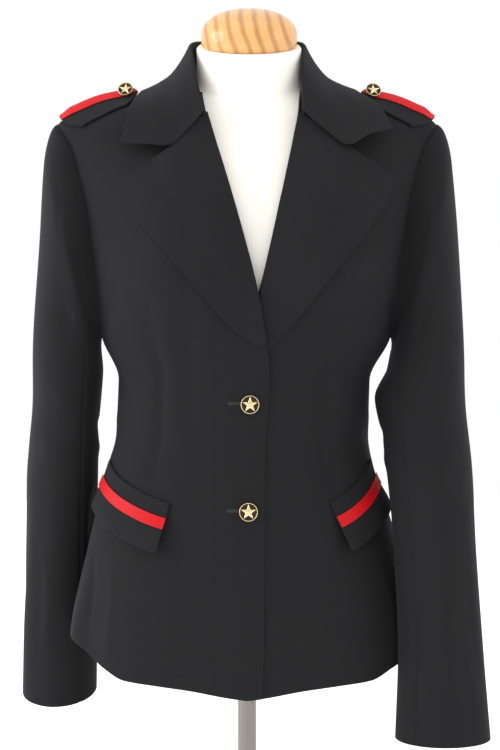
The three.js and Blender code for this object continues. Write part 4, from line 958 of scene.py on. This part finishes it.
def pocket_spot(pocket, along, down):
    """A place by the share along from the pocket's front end, and millimetres down the flap."""
    turn = mix(*pocket["turn"], along) + pocket["side"] * 0.05 * down
    return turn, mix(*pocket["z"], np.maximum(along, 0) ** 1.1) - down


def pocket(name, place):
    def under(turn, z):
        return lap_lift(body_point(turn, z)[..., 0], z) if place["side"] < 0 else 0 * z

    def rise(along, down):
        hang = smooth(0, FLAP_DEPTH, down)
        front = (FLAP_FRONT_LIFT - FLAP_LIFT) * hang * (1 - smooth(0, 0.35, along))
        wave = 0.8 * hang * np.sin(along * 7.5 + place["side"])
        return FLAP_LIFT * hang + front + wave + FLAP_THICKNESS + LAY

    def strip(label, s_values, thickness, start, end, out, finish, wrap=0.0):
        def spot_at(s, t):
            return pocket_spot(place, mix(-wrap, 1 + wrap, t), mix(start, end, s))
        return laid(f"{label}_{name}", s_values, spaced(60, length=105.0), thickness, spot_at,
                    lambda s, t, turn, z: under(turn, z) + out(np.clip(mix(-wrap, 1 + wrap, t), 0, 1),
                                                               mix(start, end, s)), finish)
    flap = strip("pocket_flap_cloth", spaced(26, length=39.0), FLAP_THICKNESS, 0, FLAP_DEPTH, rise, CREPE)
    welt = strip("pocket_welt_cloth", spaced(8, length=8.0), FLAP_THICKNESS, -WELT - SEAM_GAP, -SEAM_GAP,
                 lambda t, down: FLAP_THICKNESS + LAY + 0 * t, CREPE)
    ribbon = strip("flap_ribbon_satin", spaced(10, length=RIBBON_WIDTH), RIBBON_WALL,
                   RIBBON_TOP, RIBBON_TOP + RIBBON_WIDTH,
                   lambda t, down: rise(t, down) + LAY + RIBBON_THICKNESS, SATIN, 0.006)
    return flap, welt, ribbon


# ---------------------------------------------------------------- shoulder straps


def ring_reaching(turn, out):
    """The height of the ring that passes a given distance out, at any turn."""
    low, high = np.full(turn.shape, SHOULDER_TIP_Z - 60.0), np.full(turn.shape, float(NECKLINE_Z))
    for _ in range(24):
        z = (low + high) / 2
        beyond = np.abs(body_point(turn, z)[..., 0]) > out
        low, high = np.where(beyond, z, low), np.where(beyond, high, z)
    return (low + high) / 2


def shoulder_spot(side, out, across):
    """A place on the shoulder by its distance out and its distance across the strap, minus to the front."""
    out, across = np.broadcast_arrays(np.asarray(out, float), np.asarray(across, float))
    level = np.full(out.shape, 90.0)
    height = body_point(level, ring_reaching(level, out))[..., 2]
    near, far = np.zeros(out.shape), np.full(out.shape, 60.0)
    for _ in range(20):
        away = (near + far) / 2
        turn = side * (90 + np.sign(across) * away)
        here = body_point(turn, ring_reaching(turn, out))
        short = np.hypot(here[..., 1], here[..., 2] - height) < np.abs(across)
        near, far = np.where(short, away, near), np.where(short, far, away)
    turn = side * (90 + np.sign(across) * near)
    return turn, ring_reaching(turn, out)


def strap(name, side):
    start = STRAP_INNER + (STRAP_SHIFT if side > 0 else 0)

    def strip(label, columns, thickness, half, out, finish):
        def spot_at(s, t):
            across = (2 * t - 1) * half(s) - STRAP_FORWARD
            end = STRAP_OUTER - STRAP_END_CURVE * across * across
            tip = STRAP_POINT * np.abs(2 * t - 1)
            return shoulder_spot(side, mix(start + tip, end, s), across)

        def out_at(s, t, turn, z):
            apart = (2 * t - 1) * half(s) - STRAP_FORWARD - STRAP_CREST
            return out + STRAP_CROWN * bell(apart / STRAP_CROWN_WIDTH) * (1 - 0.6 * smooth(0.8, 1, s))
        return laid(f"{label}_{name}", spaced(44, length=76.0), spaced(columns, length=2.0 * half(0.5)),
                    thickness, spot_at, out_at, finish)
    face = 2 * LAY + STRAP_THICKNESS
    cloth = strip("strap_cloth", 26, STRAP_THICKNESS, lambda s: mix(STRAP_INNER_HALF, STRAP_OUTER_HALF, s),
                  face, CREPE)
    ribbon = strip("strap_ribbon_satin", 10, RIBBON_WALL, lambda s: RIBBON_WIDTH / 2,
                   face + LAY + RIBBON_THICKNESS, SATIN)
    return cloth, ribbon


# ---------------------------------------------------------------- buttons


def button(name, centre, facing, radius):
    """A shank button with a raised rim, a sunk field painted dark as shade, and a raised five-pointed star.
    """
    size = radius / BUTTON_RADIUS
    spin = Vector(facing).to_track_quat("Z", "Y").to_matrix().to_4x4()
    place = Matrix.Translation(centre) @ spin
    outline = [(0, 0), (3.5, 0), (3.5, 1.1), (8.9, 1.2), (9.6, 1.5), (9.95, 2.1), (10, 2.8), (9.8, 3.35),
               (9.5, 3.6), (9.2, 3.5), (9.0, 3.15), (8.9, 2.65), (0, 2.55)]
    body = turned(f"{name}_disc", np.array(outline) * [size, 1], 64, GILT, place)
    # The second slot holds the painted shade of the sunk field.
    body.data.materials.append(FIELD_SHADE)
    star_points = [(0, 0, 3.9)]
    for i in range(10):
        reach = size * (STAR_TIP if i % 2 == 0 else STAR_NOTCH)
        angle = i * math.pi / 5 + math.pi / 2
        x, y = reach * math.cos(angle), reach * math.sin(angle)
        star_points += [(x, y, 2.3), (x, y, 2.95), (x * 0.86, y * 0.86, 3.2)]
    faces = []
    for i in range(10):
        a, b = 1 + 3 * i, 1 + 3 * ((i + 1) % 10)
        faces += [[a, b, b + 1, a + 1], [a + 1, b + 1, b + 2, a + 2], [a + 2, b + 2, 0]]
    faces.append([1 + 3 * i for i in range(10)][::-1])
    star = mesh_piece(f"{name}_star", placed(star_points, place), faces, GILT)
    star.data.polygons.foreach_set("use_smooth", [False] * len(star.data.polygons))
    # The faces of the sunk field take the painted shade.
    for face in body.data.polygons:
        local = place.inverted() @ (face.center / MM)
        if math.hypot(local.x, local.y) < BUTTON_FIELD_RADIUS * size and local.z > BUTTON_FIELD_HEIGHT:
            face.material_index = 1
    return body, star


def front_button(name, x, height):
    turn, z = front_spot(np.array(float(x)), height)
    seat = cloth_point(turn, z, lap_lift(float(x), z) + LAY)
    return button(name, Vector(seat), (0, -1, 0), FRONT_BUTTON_RADIUS)


def strap_button(name, side):
    out = STRAP_INNER + STRAP_POINT + (STRAP_SHIFT if side > 0 else 0)
    spot = shoulder_spot(side, out, -STRAP_BUTTON_FORWARD)
    crown = STRAP_CROWN * float(bell((STRAP_BUTTON_FORWARD + STRAP_CREST) / STRAP_CROWN_WIDTH))
    seat = cloth_point(*spot, 4 * LAY + STRAP_THICKNESS + RIBBON_THICKNESS + STRAP_BUTTON_STAND + crown)
    facing = Matrix.Rotation(math.radians(STRAP_BUTTON_DROOP), 3, "X") @ Vector(body_normal(*spot))
    return button(name, Vector(seat), facing, STRAP_BUTTON_RADIUS)


# ---------------------------------------------------------------- stitches


def stitch_nodes(thread):
    """A row of close upright stitches on a line, as a node group; each stitch differs a little."""
    group = bpy.data.node_groups.new("buttonhole_stitches", "GeometryNodeTree")
    inputs = {}
    for name, kind, value in (
            ("stitch count", "Int", 20), ("first stitch", "Vector", (0, 0, 0)), ("step", "Vector", (0, 0, 0)),
            ("stitch length", "Float", 0.001), ("thread width", "Float", 0.0004), ("seed", "Int", 7)):
        socket = group.interface.new_socket(name=name, in_out="INPUT", socket_type=f"NodeSocket{kind}")
        socket.default_value = value
        inputs[name] = socket.identifier
    group.interface.new_socket(name="stitches", in_out="OUTPUT", socket_type="NodeSocketGeometry")
    given = group.nodes.new("NodeGroupInput").outputs
    row = add(group, "GeometryNodeMeshLine", {
        "Count": given["stitch count"], "Start Location": given["first stitch"], "Offset": given["step"]})
    ball = add(group, "GeometryNodeMeshIcoSphere", {"Radius": 0.5, "Subdivisions": 2})
    size = add(group, "ShaderNodeCombineXYZ", {"X": given["thread width"], "Y": given["thread width"],
                                               "Z": given["stitch length"]})
    varied = add(group, "FunctionNodeRandomValue", {0: (0.85, 0.9, 0.88), 1: (1.1, 1.1, 1.12),
                                                    "Seed": given["seed"]}, data_type="FLOAT_VECTOR")
    scale = add(group, "ShaderNodeVectorMath", {0: size.outputs["Vector"], 1: varied.outputs["Value"]},
                operation="MULTIPLY")
    standing = add(group, "GeometryNodeInstanceOnPoints", {
        "Points": row.outputs["Mesh"], "Instance": ball.outputs["Mesh"], "Scale": scale.outputs["Vector"]})
    real = add(group, "GeometryNodeRealizeInstances", {"Geometry": standing.outputs["Instances"]})
    dyed = add(group, "GeometryNodeSetMaterial", {"Geometry": real.outputs["Geometry"], "Material": thread})
    out = group.nodes.new("NodeGroupOutput")
    group.links.new(dyed.outputs["Geometry"], out.inputs["stitches"])
    return group, inputs


def stitch_row(name, nodes, first, last):
    """The row between two places, kept as a plain mesh."""
    group, inputs = nodes
    holder = bpy.data.objects.new(f"{name}_guide", bpy.data.meshes.new(f"{name}_guide"))
    bpy.context.scene.collection.objects.link(holder)
    row = holder.modifiers.new("stitches", "NODES")
    row.node_group = group
    first, last = np.array(first) * MM, np.array(last) * MM
    row[inputs["stitch count"]] = STITCHES
    row[inputs["first stitch"]] = first.tolist()
    row[inputs["step"]] = ((last - first) / (STITCHES - 1)).tolist()
    row[inputs["stitch length"]] = STITCH_LENGTH * MM
    row[inputs["thread width"]] = STITCH_WIDTH * MM
    bpy.context.view_layer.update()
    plain = bpy.data.meshes.new_from_object(holder.evaluated_get(bpy.context.evaluated_depsgraph_get()))
    holder.modifiers.remove(row)
    bpy.data.objects.remove(holder)
    plain.name = name
    made = bpy.data.objects.new(name, plain)
    bpy.context.scene.collection.objects.link(made)
    plain.polygons.foreach_set("use_smooth", [True] * len(plain.polygons))
    return made


def buttonhole(name, nodes, x, height):
    """Two rows of close stitches along a slit that runs from the button to the front's side."""
    rows = []
    for label, up in (("upper", STITCH_LENGTH / 2), ("lower", -STITCH_LENGTH / 2)):
        ends = []
        for across in (x - BUTTONHOLE_START, x - BUTTONHOLE_END):
            turn, z = front_spot(np.array(float(across)), height + up)
            ends.append(cloth_point(turn, z, lap_lift(float(across), z) + STITCH_RISE))
        rows.append(stitch_row(f"{name}_{label}_stitches", nodes, *ends))
    return rows


# ---------------------------------------------------------------- the object


def no_lift(x, z):
    return 0 * z


def made_for(nodes, *pieces, slot):
    """Puts the pieces on the body, in place of the named solids."""
    for made in pieces:
        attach(made, "root")
    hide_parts(*nodes)


form = dress_form()
made_for(["form_torso"], form, slot="cream_jersey")
cap = neck_cap()
made_for(["neck_cap"], cap, slot="varnished_pine")
foot, socket, pole = stand()
made_for(["stand_base"], foot, socket, slot="polished_steel")
made_for(["stand_pole"], pole, slot="polished_steel")

front_r = front_panel("front_right_cloth", -1, RIGHT_EDGE, lap_lift)
front_l = front_panel("front_left_cloth", 1, LEFT_EDGE, no_lift)
back_r, back_l = back_panel("back_right_cloth", -1), back_panel("back_left_cloth", 1)
top_r, under_r = sleeve("right_cloth", -1, RIGHT_SLEEVE)
top_l, under_l = sleeve("left_cloth", 1, LEFT_SLEEVE)
lapel_r = lapel("lapel_right_cloth", RIGHT_LAPEL, lap_lift, 0.6)
lapel_l = lapel("lapel_left_cloth", LEFT_LAPEL, no_lift, 11)
collar_face, collar_ways = collar()
collar_piece = wall("collar_cloth", collar_face, collar_ways, CLOTH, CREPE)
flap_r, welt_r, band_r = pocket("right", RIGHT_POCKET)
flap_l, welt_l, band_l = pocket("left", LEFT_POCKET)
strap_r, strap_band_r = strap("right", -1)
strap_l, strap_band_l = strap("left", 1)

# Each piece in metres: width and length of the cloth it is cut from, the area that it
# has as built, and the piece that it lies on.
CUTS = [
    ("front_right", front_r, 0.27, 0.66, 0.125, "form_cover"),
    ("front_left", front_l, 0.26, 0.66, 0.119, "form_cover"),
    ("back_right", back_r, 0.25, 0.63, 0.12, "form_cover"),
    ("back_left", back_l, 0.25, 0.63, 0.12, "form_cover"),
    ("sleeve_top_right", top_r, 0.215, 0.62, 0.105, "front_right_cloth"),
    ("sleeve_under_right", under_r, 0.105, 0.47, 0.0395, "front_right_cloth"),
    ("sleeve_top_left", top_l, 0.225, 0.635, 0.112, "front_left_cloth"),
    ("sleeve_under_left", under_l, 0.105, 0.49, 0.041, "front_left_cloth"),
    ("lapel_right", lapel_r, 0.13, 0.245, 0.017, "front_right_cloth"),
    ("lapel_left", lapel_l, 0.13, 0.25, 0.0177, "front_left_cloth"),
    ("collar", collar_piece, 0.13, 0.46, 0.041, "front_right_cloth"),
    ("pocket_flap_right", flap_r, 0.044, 0.122, 0.0049, "front_right_cloth"),
    ("pocket_welt_right", welt_r, 0.0105, 0.122, 0.0012, "front_right_cloth"),
    ("pocket_flap_left", flap_l, 0.044, 0.107, 0.0042, "front_left_cloth"),
    ("pocket_welt_left", welt_l, 0.0105, 0.107, 0.001, "front_left_cloth"),
    ("strap_right", strap_r, 0.058, 0.087, 0.0045, "front_right_cloth"),
    ("strap_left", strap_l, 0.058, 0.082, 0.0042, "front_left_cloth"),
]
for node, made, width, length, area, under in CUTS:
    made_for([node], made, slot="charcoal_crepe")
RIBBONS = [
    ("flap_ribbon_right", band_r, 0.121, "pocket_flap_cloth_right"),
    ("flap_ribbon_left", band_l, 0.106, "pocket_flap_cloth_left"),
    ("strap_ribbon_right", strap_band_r, 0.093, "strap_cloth_right"),
    ("strap_ribbon_left", strap_band_l, 0.088, "strap_cloth_left"),
]
for node, made, length, under in RIBBONS:
    made_for([node], made, slot="red_ribbon")
for label, x, height in FRONT_BUTTONS:
    made_for([f"button_{label}"], *front_button(f"button_{label}_gilt", x, height), slot="pale_gold")
for name, side in (("strap_button_right", -1), ("strap_button_left", 1)):
    made_for([name], *strap_button(f"{name}_gilt", side), slot="pale_gold")

stitching = stitch_nodes(THREAD)
for label, x, height in FRONT_BUTTONS:
    for row in buttonhole(f"buttonhole_{label}", stitching, x, height + BUTTONHOLE_UP):
        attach(row, "root")

# ---------------------------------------------------------------- floor, light and camera

FLOOR_HALF = 6
floor_mesh = bpy.data.meshes.new("floor")
floor_corners = [(x * FLOOR_HALF, y * FLOOR_HALF, 0) for x, y in ((-1, -1), (1, -1), (1, 1), (-1, 1))]
floor_mesh.from_pydata(floor_corners, [], [(0, 1, 2, 3)])
floor = bpy.data.objects.new("floor", floor_mesh)
bpy.context.scene.collection.objects.link(floor)
white = finish("white_paper", {"Base Color": colour("#f7f7f7"), "Roughness": 0.9,
                               "Emission Color": (1, 1, 1, 1), "Emission Strength": 0.35})
floor_mesh.materials.append(white[0])


def softbox(name, place, size, power):
    """A rectangular light that faces the jacket's middle."""
    light = bpy.data.lights.new(name, "AREA")
    light.shape, light.size, light.size_y, light.energy = "RECTANGLE", *size, power
    made = bpy.data.objects.new(name, light)
    made.location = place
    made.rotation_euler = (Vector((0, 0, 0.5)) - Vector(place)).to_track_quat("-Z", "Y").to_euler()
    bpy.context.scene.collection.objects.link(made)


softbox("window_left", (-2.2, -0.35, 1.25), (1.2, 2.0), 34)
softbox("window_right", (2.1, -0.9, 1.2), (1.0, 1.8), 8)
softbox("overhead", (0, -0.5, 2.6), (2.0, 1.4), 5)
softbox("front_fill", (0.2, -2.6, 0.9), (1.6, 1.2), 1.2)

world = bpy.data.worlds.new("white_studio")
world.use_nodes = True
world.node_tree.nodes["Background"].inputs["Color"].default_value = (1, 1, 1, 1)
world.node_tree.nodes["Background"].inputs["Strength"].default_value = 1.0
bpy.context.scene.world = world
bpy.context.scene.view_settings.view_transform = "Standard"

VIEW_DISTANCE, VIEW_HEIGHT = 2000, 772.5  # how much is seen from top to bottom at the pole
lens = bpy.data.cameras.new("camera")
lens.sensor_width, lens.lens = 36, 36 * VIEW_DISTANCE / VIEW_HEIGHT
camera = bpy.data.objects.new("camera", lens)
camera.location = (0.003, -2.0, 0.515)
camera.rotation_euler = (math.pi / 2, 0, 0)
bpy.context.scene.collection.objects.link(camera)
bpy.context.scene.camera = camera
